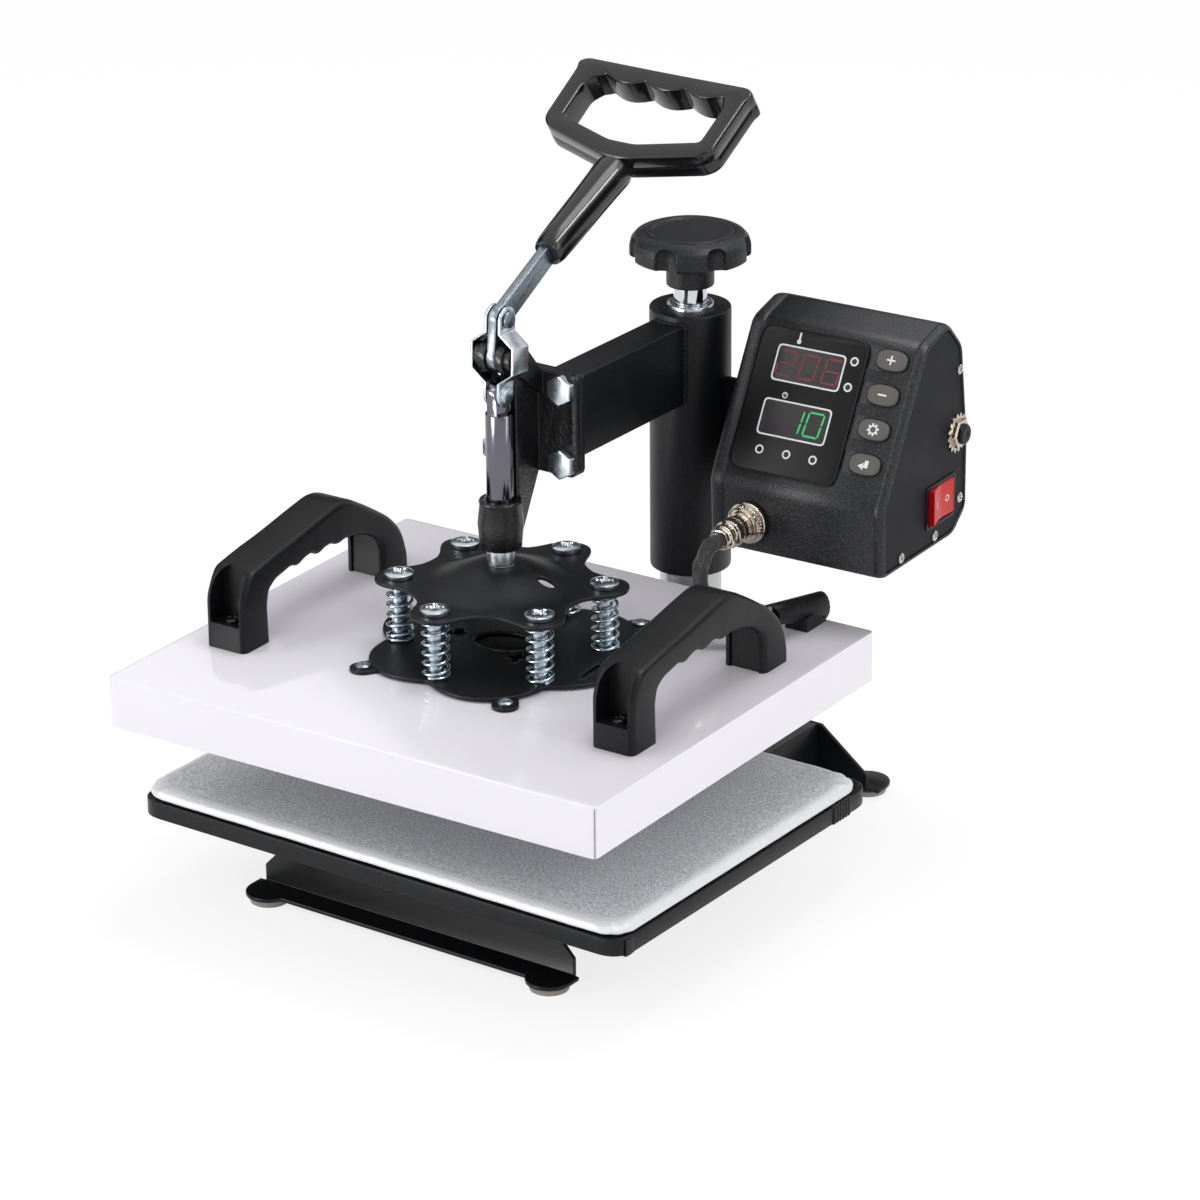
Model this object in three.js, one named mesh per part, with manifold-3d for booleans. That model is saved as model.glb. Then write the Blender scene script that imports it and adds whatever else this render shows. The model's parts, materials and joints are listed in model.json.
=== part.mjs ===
// Swing-away heat press, in millimetres, +Z up, +Y away from the operator.
// The pieces are made round the post axis (x = 0, y = 0) on the floor (z = 0).
// The last lines move the whole press so that its origin is the bottom centre of its box.
import * as THREE from 'three';
import { mergeVertices } from 'three/addons/utils/BufferGeometryUtils.js';
import Module from 'manifold-3d';

const wasm = await Module();
wasm.setup();

// Shared clearances and counts
const gap = 0.3;
const overrun = 2;
const weld = 0.0001;
const fineSides = 32;
const plainSides = 20;
const smallSides = 12;
const degree = Math.PI / 180;

// Feet and the folded base
const foot = { radius: 10.75, height: 4, frontSpread: 93.5, frontReach: 267.8, rearSpread: 96.6, rearReach: 35.7 };
const base = {
  sheet: 2.4,
  frontWall: 259,
  rearWall: 27,
  halfLength: 103,
  frontShoulder: 15.5,
  frontChamferTop: 27,
  frontTopHalf: 92,
  rearTopHalf: 72,
  rearShoulder: 14.4,
  flange: 14,
  tabRadius: 13,
  topFold: 22,
  channelHalf: 70,
  channelTop: 38.4,
};

// Tray, the risers that carry it, and the pad
const tray = { halfWidth: 159, front: 297, depth: 238, skirtFoot: 45.7, floor: 54.5, bead: 1, beadWidth: 3.2,
  sheet: 1.5, corner: 14 };
const riser = { half: 60, depth: 18, frontInset: 92, rearInset: 33 };
const pad = { inset: 3.5, height: 8.9, corner: 12, crown: 0.5, drawn: 1.1, roll: 2.4, cornerSteps: 8, sideSteps: 4 };

// Post, bush, sleeve and lift screw
const post = { radius: 17.3, wall: 3, top: 264, lid: 12 };
const bush = { wall: 2.6, foot: 134, top: 256 };
const sleeve = { radius: 22.75, foot: 129.4, top: 282.1, lid: 8 };
const liftNut = { radius: 13, proud: 2 };
const liftScrew = { radius: 9.3 };
const knob = { hubRadius: 13.3, hubFoot: 294.6, skirtFoot: 310.4, top: 325.9, radius: 33.5, shoulder: 4.5,
  ringRadius: 25, ringDepth: 0.9, capRadius: 21, capDepth: 1.2, flutes: 7, firstFlute: -28.8 * degree,
  fluteRadius: 6.2, fluteProud: 4.5, spigot: 6 };

// Arm, flange and plunger bracket
const reach = 178.2;
const arm = { halfWidth: 10.5, foot: 232, top: 278, wall: 2 };
const flange = { halfWidth: 29, foot: 233.3, top: 290.3, corner: 4, thick: 4.3, frontFromAxis: 28.2 };
const bolt = { across: 14.5, head: 5.2, shank: 4, spread: 21.5, topInset: 7.8, footInset: 7.7 };
const rod = { radius: 7.4, foot: 188.6, shoulderDrop: 11, tongueHalf: 3.2, tongueRadius: 6.5 };
const barrel = { radius: 11.8, aboveRodFoot: 9.4, length: 27, bulge: 0.6, rim: 2.5 };
const web = { halfThick: 5, front: 8, slantFromAxis: 12.2, aboveBarrelFoot: 3 };
const ear = { inner: 3.2, outer: 8, radius: 8.5, bossRadius: 6.5, bossFace: 11.6, back: 9.2, drop: 13 };

// Toggle linkage: the pivot F above the plunger, the crank pin above F, the plunger pin below F
const pivot = { height: 304.9, pinRadius: 3.2, pinHalf: 12 };
const crank = { radius: 20.7, leanBack: 6 * degree };
const plungerPinHeight = 284.4;
const link = { inner: 3.5, sheet: 1.6, bulgeInner: 12.4, bulgeHalf: 7, rampHalf: 13.5, halfWidth: 7, pinHole: 3.3,
  headRadius: 4.6, headThick: 1.5 };
const lever = { halfThick: 2.5, pivotRadius: 7.5, crankRadius: 7, pinRadius: 3, startHalf: 6.25, endHalf: 5,
  incline: 28.7 * degree, bare: 49.1, inGrip: 44 };
const grip = { neckIncline: 25.7 * degree, neckLength: 70.7, neckStartHalf: 8.2, neckEndHalf: 6.6, neckSlim: 0.8,
  ringTilt: 32 * degree, thick: 15.5, halfWidth: 57, height: 54.3, innerHalf: 45, scallop: 2.2, innerTop: 45.2,
  scallopPitch: 25.2, ringFromPivotY: 114.2, ringFromPivotZ: 79.2, edge: 2.2 };
const gripOuterShares = [[0.105, -0.118], [0.86, 0.105], [0.94, 0.2], [0.95, 0.88], [0.985, 0.955], [0.912, 1]];
const gripInnerShares = [[0.19, 0.09], [0.99, 0.3], [1, 0.84]];

// Platen: everything from the plunger foot down, turned a little about the plunger axis
const platenTurn = 1.7 * degree;
const cover = { halfWidth: 155, front: 143.8, back: 128, top: 138.8, height: 28.5, sheet: 1.2, corner: 3 };
const heater = { inset: 10.5, thick: 9, drop: 5, corner: 6 };
const insulation = { clearance: 1 };
const earPlate = { thick: 1, radius: 61, earSpread: 45.8, earReach: 64.1, earRadius: 7.2 };
const lobed = { thick: 2, waist: 62.3, lobe: 12, hole: 14, holeStretch: 1.3, slotHalf: 4, slotReach: 50, slots: 3 };
const bolts = { count: 6, ring: 55.5, first: 25.5 * degree, shank: 4.3, hole: 4.8, head: 8, headThick: 3.2,
  crossHalf: 0.9, crossReach: 4.6, crossDepth: 1.4 };
const spring = { outer: 7.6, wire: 1.8, curls: 7, steps: 8, sides: 5, seat: 0.3 };
const star = { sheet: 2, top: 177.8, earRadius: 13, waist: 50, scallop: 15, scallopRing: 62, domeFoot: 25,
  domeTop: 12, domeRise: 10.8, slotHalf: 3.4, slotRing: 38 };
const handle = { inset: 31, width: 26, front: 81.8, length: 151.5, height: 58, pocketHalf: 8,
  pocketDepth: 13, pocketFoot: 14, pocketTop: 34 };
const handleShares = [
  [0, 0], [0, 0.5], [0.026, 0.638], [0.053, 0.75], [0.185, 0.819], [0.323, 0.872], [0.475, 0.948], [0.6, 1],
  [0.66, 0.971], [0.779, 0.793], [0.904, 0.579], [0.97, 0.393], [1, 0.138], [1, 0], [0.838, 0], [0.838, 0.328],
  [0.818, 0.431], [0.766, 0.517], [0.686, 0.578], [0.574, 0.595], [0.541, 0.612], [0.462, 0.591], [0.422, 0.621],
  [0.337, 0.586], [0.31, 0.603], [0.205, 0.569], [0.165, 0.5], [0.152, 0.362], [0.158, 0],
];
const hood = { fromInset: 40, fromY: 86.2, fromZ: 15, toInset: 32, toY: 126, narrow: 6, mouthHalfWidth: 5.5,
  mouthHalfHeight: 8.5, sides: 16, bore: 4.8, boreDepth: 8 };

// Control case, turned a little about its own upright axis
const caseTurn = 3.1 * degree;
const control = { x: 107.6, y: -55.6, z: 211, halfWidth: 52.2, slope: 29.8 * degree, wall: 1.5,
  round: 4, sideThick: 1.2, recess: 2 };
const caseOutline = [[1.5, -40], [0, 0], [45.5, 79.5], [71.8, 86.2], [88, 69.5], [95.4, 13.8], [95.4, -27.8],
  [80.6, -40]];
const overlay = { left: -46, right: 20, foot: 8, top: 88, thick: 0.8, corner: 4 };
const button = { x: 35, halfWidth: 9.4, halfHeight: 5.75, proud: 2.4, depth: 3, firstUp: 23.4, pitch: 19.2 };
const buttonNames = ['button_confirm', 'button_set', 'button_minus', 'button_plus'];
const rocker = { y: 65.5, z: -15, halfLength: 16, halfHeight: 12.5, rim: 2.2, thick: 2, depth: 9, rise: 2.6,
  clearance: 0.6 };
const fuse = { y: 83, z: 19.2, radius: 9.8, thick: 3, capRadius: 5.6, capThick: 6.5, slotHalf: 0.8, slotDepth: 1.2 };
const socket = { x: -30.5, z: -21.5, flange: 11.8, flangeThick: 4, barrel: 8.3, barrelLength: 12 };
const plug = { ring: 8, ringLength: 9, clamp: 6.9, clampLength: 6 };
const gland = { x: 18, z: -12, radius: 9, length: 8, nose: 6.5, noseLength: 14, bore: 3.6 };
const board = { halfWidth: 34, foot: -18, height: 74, thick: 1.6, standOff: 7 };
const relay = { halfWidth: 14, depth: 15, height: 19 };
const caseBracket = { thick: 3, flangeHalf: 17, foot: -13, height: 46 };

// Heater cable: its route is a list of points chosen by hand
const cable = { radius: 4.4, sides: 10, steps: 26 };
const cablePoints = [
  [78.9, -88.9, 189.5], [79.2, -95.6, 189.2], [79.8, -102.5, 186.6], [80.6, -107.5, 181], [81.8, -110.6, 173.5],
  [83.6, -112.4, 165.5], [86.4, -112.9, 158.6], [90.4, -112.2, 153.6], [95.2, -110.2, 151], [100.2, -106.8, 150.2],
  [104.8, -103, 150.6], [108.8, -99, 151.8], [111.4, -94.6, 153.1], [112.3, -90.2, 153.8],
];

// Materials
function finish(color, roughness, metalness) {
  return new THREE.MeshStandardMaterial({ color, roughness, metalness });
}
const powderBlack = finish('#1d1d1f', 0.6, 0.1);
const castBlack = finish('#232325', 0.7, 0.2);
const moulded = finish('#18181a', 0.45, 0);
const glossBlack = finish('#0b0b0d', 0.15, 0);
const whiteSheet = finish('#e9eaec', 0.4, 0.1);
const zinc = finish('#b9bcc0', 0.35, 0.9);
const chrome = finish('#d8dadd', 0.12, 1);
const aluminium = finish('#c4c7ca', 0.4, 1);
const silverCloth = finish('#b4b7bb', 0.5, 0.3);
const fibre = finish('#e5dfc8', 0.9, 0);
const nylon = finish('#e8e6dd', 0.5, 0);
const redPlastic = finish('#c3161c', 0.3, 0);
const greyRubber = finish('#8f9296', 0.7, 0);
const boardGreen = finish('#1f6b3a', 0.6, 0);

// A closed three.js geometry becomes a solid whose faces point outwards
function solid(geometry) {
  const bare = new THREE.BufferGeometry();
  bare.setAttribute('position', geometry.getAttribute('position').clone());
  bare.setIndex(geometry.index ? geometry.index.clone() : null);
  const merged = mergeVertices(bare, weld);
  const place = merged.getAttribute('position');
  const corners = [];
  let volume = 0;
  const [a, b, c] = [new THREE.Vector3(), new THREE.Vector3(), new THREE.Vector3()];
  for (let i = 0; i < merged.index.count; i += 3) {
    const [p, q, r] = [merged.index.getX(i), merged.index.getX(i + 1), merged.index.getX(i + 2)];
    if (p === q || q === r || r === p) continue;
    corners.push(p, q, r);
    a.fromBufferAttribute(place, p);
    b.fromBufferAttribute(place, q);
    c.fromBufferAttribute(place, r);
    volume += a.dot(b.cross(c));
  }
  if (volume < 0) corners.reverse();
  const triVerts = new Uint32Array(corners);
  return new wasm.Manifold(new wasm.Mesh({ numProp: 3, vertProperties: place.array, triVerts }));
}

function joined(...solids) {
  return solids.reduce((sum, next) => sum.add(next));
}

function cut(body, ...tools) {
  return tools.reduce((rest, tool) => rest.subtract(tool), body);
}

// A named mesh from a solid
function piece(name, material, body) {
  const mesh = body.getMesh();
  const geometry = new THREE.BufferGeometry();
  geometry.setAttribute('position', new THREE.BufferAttribute(new Float32Array(mesh.vertProperties), 3));
  geometry.setIndex(new THREE.BufferAttribute(new Uint32Array(mesh.triVerts), 1));
  geometry.computeVertexNormals();
  const result = new THREE.Mesh(geometry, material);
  result.name = name;
  return result;
}

function group(x, y, z, turn, ...children) {
  const result = new THREE.Group();
  result.position.set(x, y, z);
  result.rotation.z = turn;
  result.add(...children);
  return result;
}

// A block between two opposite corners
function block(x0, x1, y0, y1, z0, z1) {
  const geometry = new THREE.BoxGeometry(x1 - x0, y1 - y0, z1 - z0);
  geometry.translate((x0 + x1) / 2, (y0 + y1) / 2, (z0 + z1) / 2);
  return solid(geometry);
}

// An upright cylinder
function drum(x, y, radius, z0, z1, sides = plainSides) {
  const geometry = new THREE.CylinderGeometry(radius, radius, z1 - z0, sides);
  geometry.rotateX(Math.PI / 2);
  geometry.translate(x, y, (z0 + z1) / 2);
  return solid(geometry);
}

// A cylinder along X or along Y
function drumX(y, z, radius, x0, x1, sides = plainSides) {
  const geometry = new THREE.CylinderGeometry(radius, radius, x1 - x0, sides);
  geometry.rotateZ(Math.PI / 2);
  geometry.translate((x0 + x1) / 2, y, z);
  return solid(geometry);
}

function drumY(x, z, radius, y0, y1, sides = plainSides) {
  const geometry = new THREE.CylinderGeometry(radius, radius, y1 - y0, sides);
  geometry.translate(x, (y0 + y1) / 2, z);
  return solid(geometry);
}

// A profile of [radius, height] points turned about the Z axis
function turned(points, sides = fineSides) {
  const geometry = new THREE.LatheGeometry(points.map(([r, z]) => new THREE.Vector2(r, z)), sides);
  geometry.rotateX(Math.PI / 2);
  return solid(geometry);
}

function outline(points) {
  return new THREE.Shape(points.map(([x, y]) => new THREE.Vector2(x, y)));
}

// An outline with its corners rounded by curves of one radius
function roundedOutline(points, radius) {
  const shape = new THREE.Shape();
  points.forEach(([x, y], index) => {
    const corner = new THREE.Vector2(x, y);
    const before = new THREE.Vector2(...points.at(index - 1));
    const after = new THREE.Vector2(...points[(index + 1) % points.length]);
    const reachBack = Math.min(radius, corner.distanceTo(before) / 2);
    const reachOn = Math.min(radius, corner.distanceTo(after) / 2);
    const start = corner.clone().add(before.sub(corner).setLength(reachBack));
    const end = corner.clone().add(after.sub(corner).setLength(reachOn));
    if (index === 0) shape.moveTo(start.x, start.y);
    else shape.lineTo(start.x, start.y);
    shape.quadraticCurveTo(x, y, end.x, end.y);
  });
  shape.closePath();
  return shape;
}

function rectangle(x0, x1, y0, y1) {
  return [[x0, y0], [x1, y0], [x1, y1], [x0, y1]];
}

// A flat shape with thickness: upright (its own XY), facing Y (x, z) or facing X (y, z)
function slab(shape, z0, z1, curveSegments = 6) {
  const geometry = new THREE.ExtrudeGeometry(shape, { depth: z1 - z0, bevelEnabled: false, curveSegments });
  geometry.translate(0, 0, z0);
  return solid(geometry);
}

function slabY(shape, y0, y1, curveSegments = 6) {
  const geometry = new THREE.ExtrudeGeometry(shape, { depth: y1 - y0, bevelEnabled: false, curveSegments });
  geometry.rotateX(Math.PI / 2);
  geometry.translate(0, y1, 0);
  return solid(geometry);
}

function slabX(shape, x0, x1, curveSegments = 6) {
  const geometry = new THREE.ExtrudeGeometry(shape, { depth: x1 - x0, bevelEnabled: false, curveSegments });
  const turn = new THREE.Matrix4();
  turn.makeBasis(new THREE.Vector3(0, 1, 0), new THREE.Vector3(0, 0, 1), new THREE.Vector3(1, 0, 0));
  geometry.applyMatrix4(turn);
  geometry.translate(x0, 0, 0);
  return solid(geometry);
}

// A closed skin over a row of rings that all have the same number of points
function skin(rings) {
  const count = rings[0].length;
  const middle = (ring) => ring.reduce((sum, p) => sum.add(p), new THREE.Vector3()).divideScalar(count);
  const points = [...rings.flat(), middle(rings[0]), middle(rings.at(-1))];
  const start = points.length - 2;
  const end = points.length - 1;
  const last = (rings.length - 1) * count;
  const corners = [];
  for (let k = 0; k < count; k += 1) {
    const next = (k + 1) % count;
    corners.push(start, next, k);
    corners.push(end, last + k, last + next);
    for (let row = 0; row < last; row += count) {
      corners.push(row + k, row + next, row + count + next);
      corners.push(row + k, row + count + next, row + count + k);
    }
  }
  const geometry = new THREE.BufferGeometry().setFromPoints(points);
  geometry.setIndex(corners);
  return solid(geometry);
}

function around(count, first, make) {
  return Array.from({ length: count }, (_, k) => make(first + (k * 2 * Math.PI) / count, k));
}

// The polygon moved inwards by one distance, for an outline whose corners all turn the same way
function inset(points, distance) {
  const middle = points.reduce((sum, p) => [sum[0] + p[0] / points.length, sum[1] + p[1] / points.length], [0, 0]);
  const edges = points.map((p, k) => {
    const q = points[(k + 1) % points.length];
    const length = Math.hypot(q[0] - p[0], q[1] - p[1]);
    const normal = [(q[1] - p[1]) / length, (p[0] - q[0]) / length];
    const side = normal[0] * (middle[0] - p[0]) + normal[1] * (middle[1] - p[1]) > 0 ? 1 : -1;
    const [nx, ny] = [normal[0] * side, normal[1] * side];
    return { nx, ny, offset: nx * p[0] + ny * p[1] + distance };
  });
  return edges.map((e, k) => {
    const f = edges.at(k - 1);
    const det = f.nx * e.ny - f.ny * e.nx;
    return [(f.offset * e.ny - f.ny * e.offset) / det, (f.nx * e.offset - f.offset * e.nx) / det];
  });
}

// Base: channel with its welded risers, two beams, feet
const trayRear = -tray.front + tray.depth;
const beamFoot = foot.height;
const beamTop = tray.floor - tray.sheet;

function tabs(spread, reachOut, wallY, direction) {
  return [-spread, spread].map((x) => joined(
    drum(x, reachOut, base.tabRadius, beamFoot, beamFoot + base.sheet, plainSides),
    block(x - base.tabRadius, x + base.tabRadius, Math.min(reachOut, wallY), Math.max(reachOut, wallY),
      beamFoot, beamFoot + base.sheet),
  ));
}

function frontBeam() {
  const wallY = -base.frontWall;
  const wall = slabY(outline([
    [-base.halfLength, beamFoot], [base.halfLength, beamFoot], [base.halfLength, base.frontShoulder],
    [base.frontTopHalf, base.frontChamferTop], [base.frontTopHalf, beamTop], [-base.frontTopHalf, beamTop],
    [-base.frontTopHalf, base.frontChamferTop], [-base.halfLength, base.frontShoulder],
  ]), wallY, wallY + base.sheet);
  const lip = block(-base.halfLength, base.halfLength, wallY - base.flange, wallY, beamFoot, beamFoot + base.sheet);
  const fold = block(-base.frontTopHalf, base.frontTopHalf, wallY, wallY + base.topFold, beamTop - base.sheet, beamTop);
  return joined(wall, lip, fold, ...tabs(foot.frontSpread, -foot.frontReach, wallY));
}

function rearBeam() {
  const wallY = base.rearWall;
  const wall = slabY(outline([
    [-base.halfLength, beamFoot], [base.halfLength, beamFoot], [base.halfLength, base.rearShoulder],
    [base.rearTopHalf, base.channelTop], [-base.rearTopHalf, base.channelTop], [-base.halfLength, base.rearShoulder],
  ]), wallY - base.sheet, wallY);
  const lip = block(-base.halfLength, base.halfLength, wallY, wallY + base.flange, beamFoot, beamFoot + base.sheet);
  return joined(wall, lip, ...tabs(foot.rearSpread, foot.rearReach, wallY));
}

function channel() {
  const front = -base.frontWall + base.sheet;
  const back = base.rearWall - base.sheet;
  const half = base.channelHalf;
  const outer = block(-half, half, front, back, beamFoot, base.channelTop);
  const inner = block(-half + base.sheet, half - base.sheet, front - overrun, back + overrun,
    beamFoot - overrun, base.channelTop - base.sheet);
  const risers = [-tray.front + riser.frontInset, trayRear - riser.rearInset].map((y) => block(-riser.half,
    riser.half, y - riser.depth / 2, y + riser.depth / 2, base.channelTop, beamTop));
  return joined(cut(outer, inner), ...risers);
}

const footPlaces = {
  foot_front_left: [-foot.frontSpread, -foot.frontReach],
  foot_front_right: [foot.frontSpread, -foot.frontReach],
  foot_rear_left: [-foot.rearSpread, foot.rearReach],
  foot_rear_right: [foot.rearSpread, foot.rearReach],
};

// Tray with a skirt and a raised bead, and the pad
function trayPan() {
  const shape = (d) => roundedOutline(rectangle(-tray.halfWidth + d, tray.halfWidth - d, -tray.front + d,
    trayRear - d), tray.corner);
  const body = slab(shape(0), tray.skirtFoot, tray.floor + tray.bead);
  const under = slab(shape(tray.sheet), tray.skirtFoot - overrun, tray.floor - tray.sheet);
  const bowl = slab(shape(tray.beadWidth), tray.floor, tray.floor + tray.bead + overrun);
  return cut(body, under, bowl);
}

function padRing(insetBy, z) {
  const x = tray.halfWidth - pad.inset - insetBy;
  const y0 = -tray.front + pad.inset + insetBy;
  const y1 = trayRear - pad.inset - insetBy;
  const r = Math.max(pad.corner - insetBy, pad.drawn);
  const centres = [[x - r, y1 - r], [-x + r, y1 - r], [-x + r, y0 + r], [x - r, y0 + r]];
  return centres.flatMap(([cx, cy], corner) => {
    const arc = Array.from({ length: pad.cornerSteps + 1 }, (_, k) => {
      const angle = (corner + k / pad.cornerSteps) * (Math.PI / 2);
      return new THREE.Vector3(cx + r * Math.cos(angle), cy + r * Math.sin(angle), z);
    });
    const [nx, ny] = centres[(corner + 1) % centres.length];
    const angle = (corner + 1) * (Math.PI / 2);
    const from = arc.at(-1);
    const to = new THREE.Vector3(nx + r * Math.cos(angle), ny + r * Math.sin(angle), z);
    const side = Array.from({ length: pad.sideSteps - 1 }, (_, k) => (
      from.clone().lerp(to, (k + 1) / pad.sideSteps)));
    return [...arc, ...side];
  });
}

function pressPad() {
  const padFoot = tray.floor;
  const top = padFoot + pad.height - pad.crown;
  const middle = padFoot + pad.height / 2;
  return skin([
    padRing(pad.roll, padFoot),
    padRing(pad.drawn / 2, padFoot + pad.drawn),
    padRing(pad.drawn, middle),
    padRing(0, top - pad.roll),
    padRing(pad.drawn / 2, top - pad.roll / 2),
    padRing(pad.roll, top),
    padRing(pad.corner * 2, top + pad.crown),
  ]);
}

// Post with its closed head, bush, sleeve, nut, screw and knob
function postTube() {
  return cut(drum(0, 0, post.radius, base.channelTop, post.top, fineSides),
    drum(0, 0, post.radius - post.wall, base.channelTop - overrun, post.top - post.lid, fineSides));
}

const bushInner = post.radius + gap;
const bushOuter = bushInner + bush.wall;

function swingBush() {
  return cut(drum(0, 0, bushOuter, bush.foot, bush.top, fineSides),
    drum(0, 0, bushInner, bush.foot - overrun, bush.top + overrun, fineSides));
}

function swingSleeve() {
  return cut(drum(0, 0, sleeve.radius, sleeve.foot, sleeve.top, fineSides),
    drum(0, 0, bushOuter + gap, sleeve.foot - overrun, sleeve.top - sleeve.lid, fineSides),
    drum(0, 0, liftNut.radius + gap, sleeve.top - sleeve.lid - overrun, sleeve.top + overrun, fineSides));
}

function nutRing() {
  const low = sleeve.top - sleeve.lid;
  const high = sleeve.top + liftNut.proud;
  return cut(drum(0, 0, liftNut.radius, low, high, fineSides),
    drum(0, 0, liftScrew.radius + gap, low - overrun, high + overrun, fineSides));
}

function liftScrewPiece() {
  return drum(0, 0, liftScrew.radius, post.top, knob.hubFoot + knob.spigot, fineSides);
}

function pressureKnob() {
  const rim = knob.radius;
  const body = turned([
    [0, knob.hubFoot], [knob.hubRadius, knob.hubFoot], [knob.hubRadius, knob.skirtFoot],
    [rim - knob.ringDepth, knob.skirtFoot], [rim, knob.skirtFoot + knob.ringDepth],
    [rim, knob.top - knob.shoulder], [rim - knob.ringDepth, knob.top - knob.shoulder / 2],
    [knob.ringRadius + knob.ringDepth, knob.top], [knob.ringRadius, knob.top - knob.ringDepth],
    [knob.ringRadius - knob.ringDepth, knob.top], [knob.capRadius, knob.top],
    [knob.capRadius, knob.top - knob.capDepth], [0, knob.top - knob.capDepth],
  ]);
  const flutes = around(knob.flutes, knob.firstFlute, (angle) => {
    const ring = rim + knob.fluteRadius - knob.fluteProud;
    return drum(ring * Math.cos(angle), ring * Math.sin(angle), knob.fluteRadius, knob.skirtFoot - overrun,
      knob.top - knob.shoulder / 2, smallSides);
  });
  const socketCut = drum(0, 0, liftScrew.radius + gap, knob.hubFoot - overrun, knob.hubFoot + knob.spigot + gap,
    fineSides);
  return cut(body, socketCut, ...flutes);
}

// Arm and its end plate, bracket, flange bolts
const flangeFront = -reach + flange.frontFromAxis;
const endPlateFront = flangeFront + flange.thick;
const armFront = endPlateFront + flange.thick;

function flangeShape() {
  return roundedOutline(rectangle(-flange.halfWidth, flange.halfWidth, flange.foot, flange.top), flange.corner);
}

const boltPlaces = [-bolt.spread, bolt.spread].flatMap((x) => [
  [x, flange.foot + bolt.footInset],
  [x, flange.top - bolt.topInset],
]);

function boltHoles() {
  return boltPlaces.map(([x, z]) => drumY(x, z, bolt.shank + gap, flangeFront - overrun, armFront + overrun,
    smallSides));
}

function armTube() {
  const a = arm.halfWidth;
  const outer = block(-a, a, armFront, 0, arm.foot, arm.top);
  const inner = block(-a + arm.wall, a - arm.wall, armFront - overrun, overrun, arm.foot + arm.wall,
    arm.top - arm.wall);
  return cut(outer, inner, drum(0, 0, sleeve.radius + gap, arm.foot - overrun, arm.top + overrun, fineSides));
}

function armEndPlate() {
  return cut(slabY(flangeShape(), endPlateFront, armFront), ...boltHoles());
}

function flangeBolt([x, z]) {
  return joined(
    drumY(x, z, bolt.across / Math.sqrt(3), flangeFront - bolt.head, flangeFront, 6),
    drumY(x, z, bolt.shank, flangeFront, armFront + bolt.shank, smallSides));
}

function plungerBracket() {
  const y = -reach;
  const plate = slabY(flangeShape(), flangeFront, endPlateFront);
  const low = rod.foot + barrel.aboveRodFoot;
  const high = low + barrel.length;
  const guide = turned([
    [0, low], [barrel.radius - barrel.bulge, low],
    [barrel.radius + barrel.bulge, (low + high) / 2],
    [barrel.radius - barrel.bulge, high - barrel.rim], [barrel.radius, high - barrel.rim / 2],
    [barrel.radius - barrel.bulge, high], [0, high],
  ], plainSides).translate([0, y, 0]);
  const rise = pivot.height;
  const fin = slabX(outline([
    [y + web.front, low + barrel.rim], [y + web.slantFromAxis, low + web.aboveBarrelFoot], [flangeFront, flange.foot],
    [flangeFront, flange.top], [y + ear.back, rise + ear.radius], [y + web.front, rise + ear.radius],
  ]), -web.halfThick, web.halfThick);
  const earShape = outline([
    [y, rise - ear.radius], [y + web.front, rise - ear.radius], [y + ear.back, rise - ear.drop],
    [flangeFront, flange.top - ear.drop],
    [flangeFront, flange.top], [y + ear.back, rise + ear.radius], [y, rise + ear.radius],
  ]);
  const ears = [[ear.inner, ear.outer], [-ear.outer, -ear.inner]].flatMap(([x0, x1]) => [
    slabX(earShape, x0, x1),
    drumX(y, rise, ear.radius, x0, x1),
  ]);
  const bosses = [[ear.outer, ear.bossFace], [-ear.bossFace, -ear.outer]].map(([x0, x1]) => (
    drumX(y, rise, ear.bossRadius, x0, x1)));
  return cut(joined(plate, guide, fin, ...ears, ...bosses),
    drum(0, y, rod.radius + gap, low - overrun, pivot.height - ear.radius - ear.drop, fineSides),
    drumX(y, rise, pivot.pinRadius + gap, -ear.bossFace - overrun, ear.bossFace + overrun),
    ...boltHoles());
}

function leverPivotPin() {
  return drumX(-reach, pivot.height, pivot.pinRadius, -pivot.pinHalf, pivot.pinHalf);
}

// Lever, links and plunger
const crankY = -reach + crank.radius * Math.sin(crank.leanBack);
const crankZ = pivot.height + crank.radius * Math.cos(crank.leanBack);

function leverBar() {
  const x = lever.halfThick;
  const direction = [Math.cos(lever.incline), Math.sin(lever.incline)];
  const along = (distance, side) => [crankY + direction[0] * distance - direction[1] * side,
    crankZ + direction[1] * distance + direction[0] * side];
  const length = lever.bare + lever.inGrip;
  const bar = outline([along(0, -lever.startHalf), along(length, -lever.endHalf), along(length, lever.endHalf),
    along(0, lever.startHalf)]);
  const lean = [Math.sin(crank.leanBack), Math.cos(crank.leanBack)];
  const half = lever.crankRadius - gap;
  const lowerBar = outline([
    [-reach - lean[1] * half, pivot.height + lean[0] * half], [-reach + lean[1] * half, pivot.height - lean[0] * half],
    [crankY + lean[1] * half, crankZ - lean[0] * half], [crankY - lean[1] * half, crankZ + lean[0] * half],
  ]);
  const plate = joined(slabX(bar, -x, x), slabX(lowerBar, -x, x),
    drumX(-reach, pivot.height, lever.pivotRadius, -x, x),
    drumX(crankY, crankZ, lever.crankRadius, -x, x));
  const hole = drumX(-reach, pivot.height, pivot.pinRadius + gap, -x - overrun, x + overrun, smallSides);
  return joined(cut(plate, hole), crankPin());
}

// The crank pin is riveted in the bar and its heads hold the two links
function crankPin() {
  const head = link.inner + link.sheet + gap;
  return joined(
    drumX(crankY, crankZ, lever.pinRadius, -head, head, smallSides),
    drumX(crankY, crankZ, link.headRadius, head, head + link.headThick, smallSides),
    drumX(crankY, crankZ, link.headRadius, -head - link.headThick, -head, smallSides));
}

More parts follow.
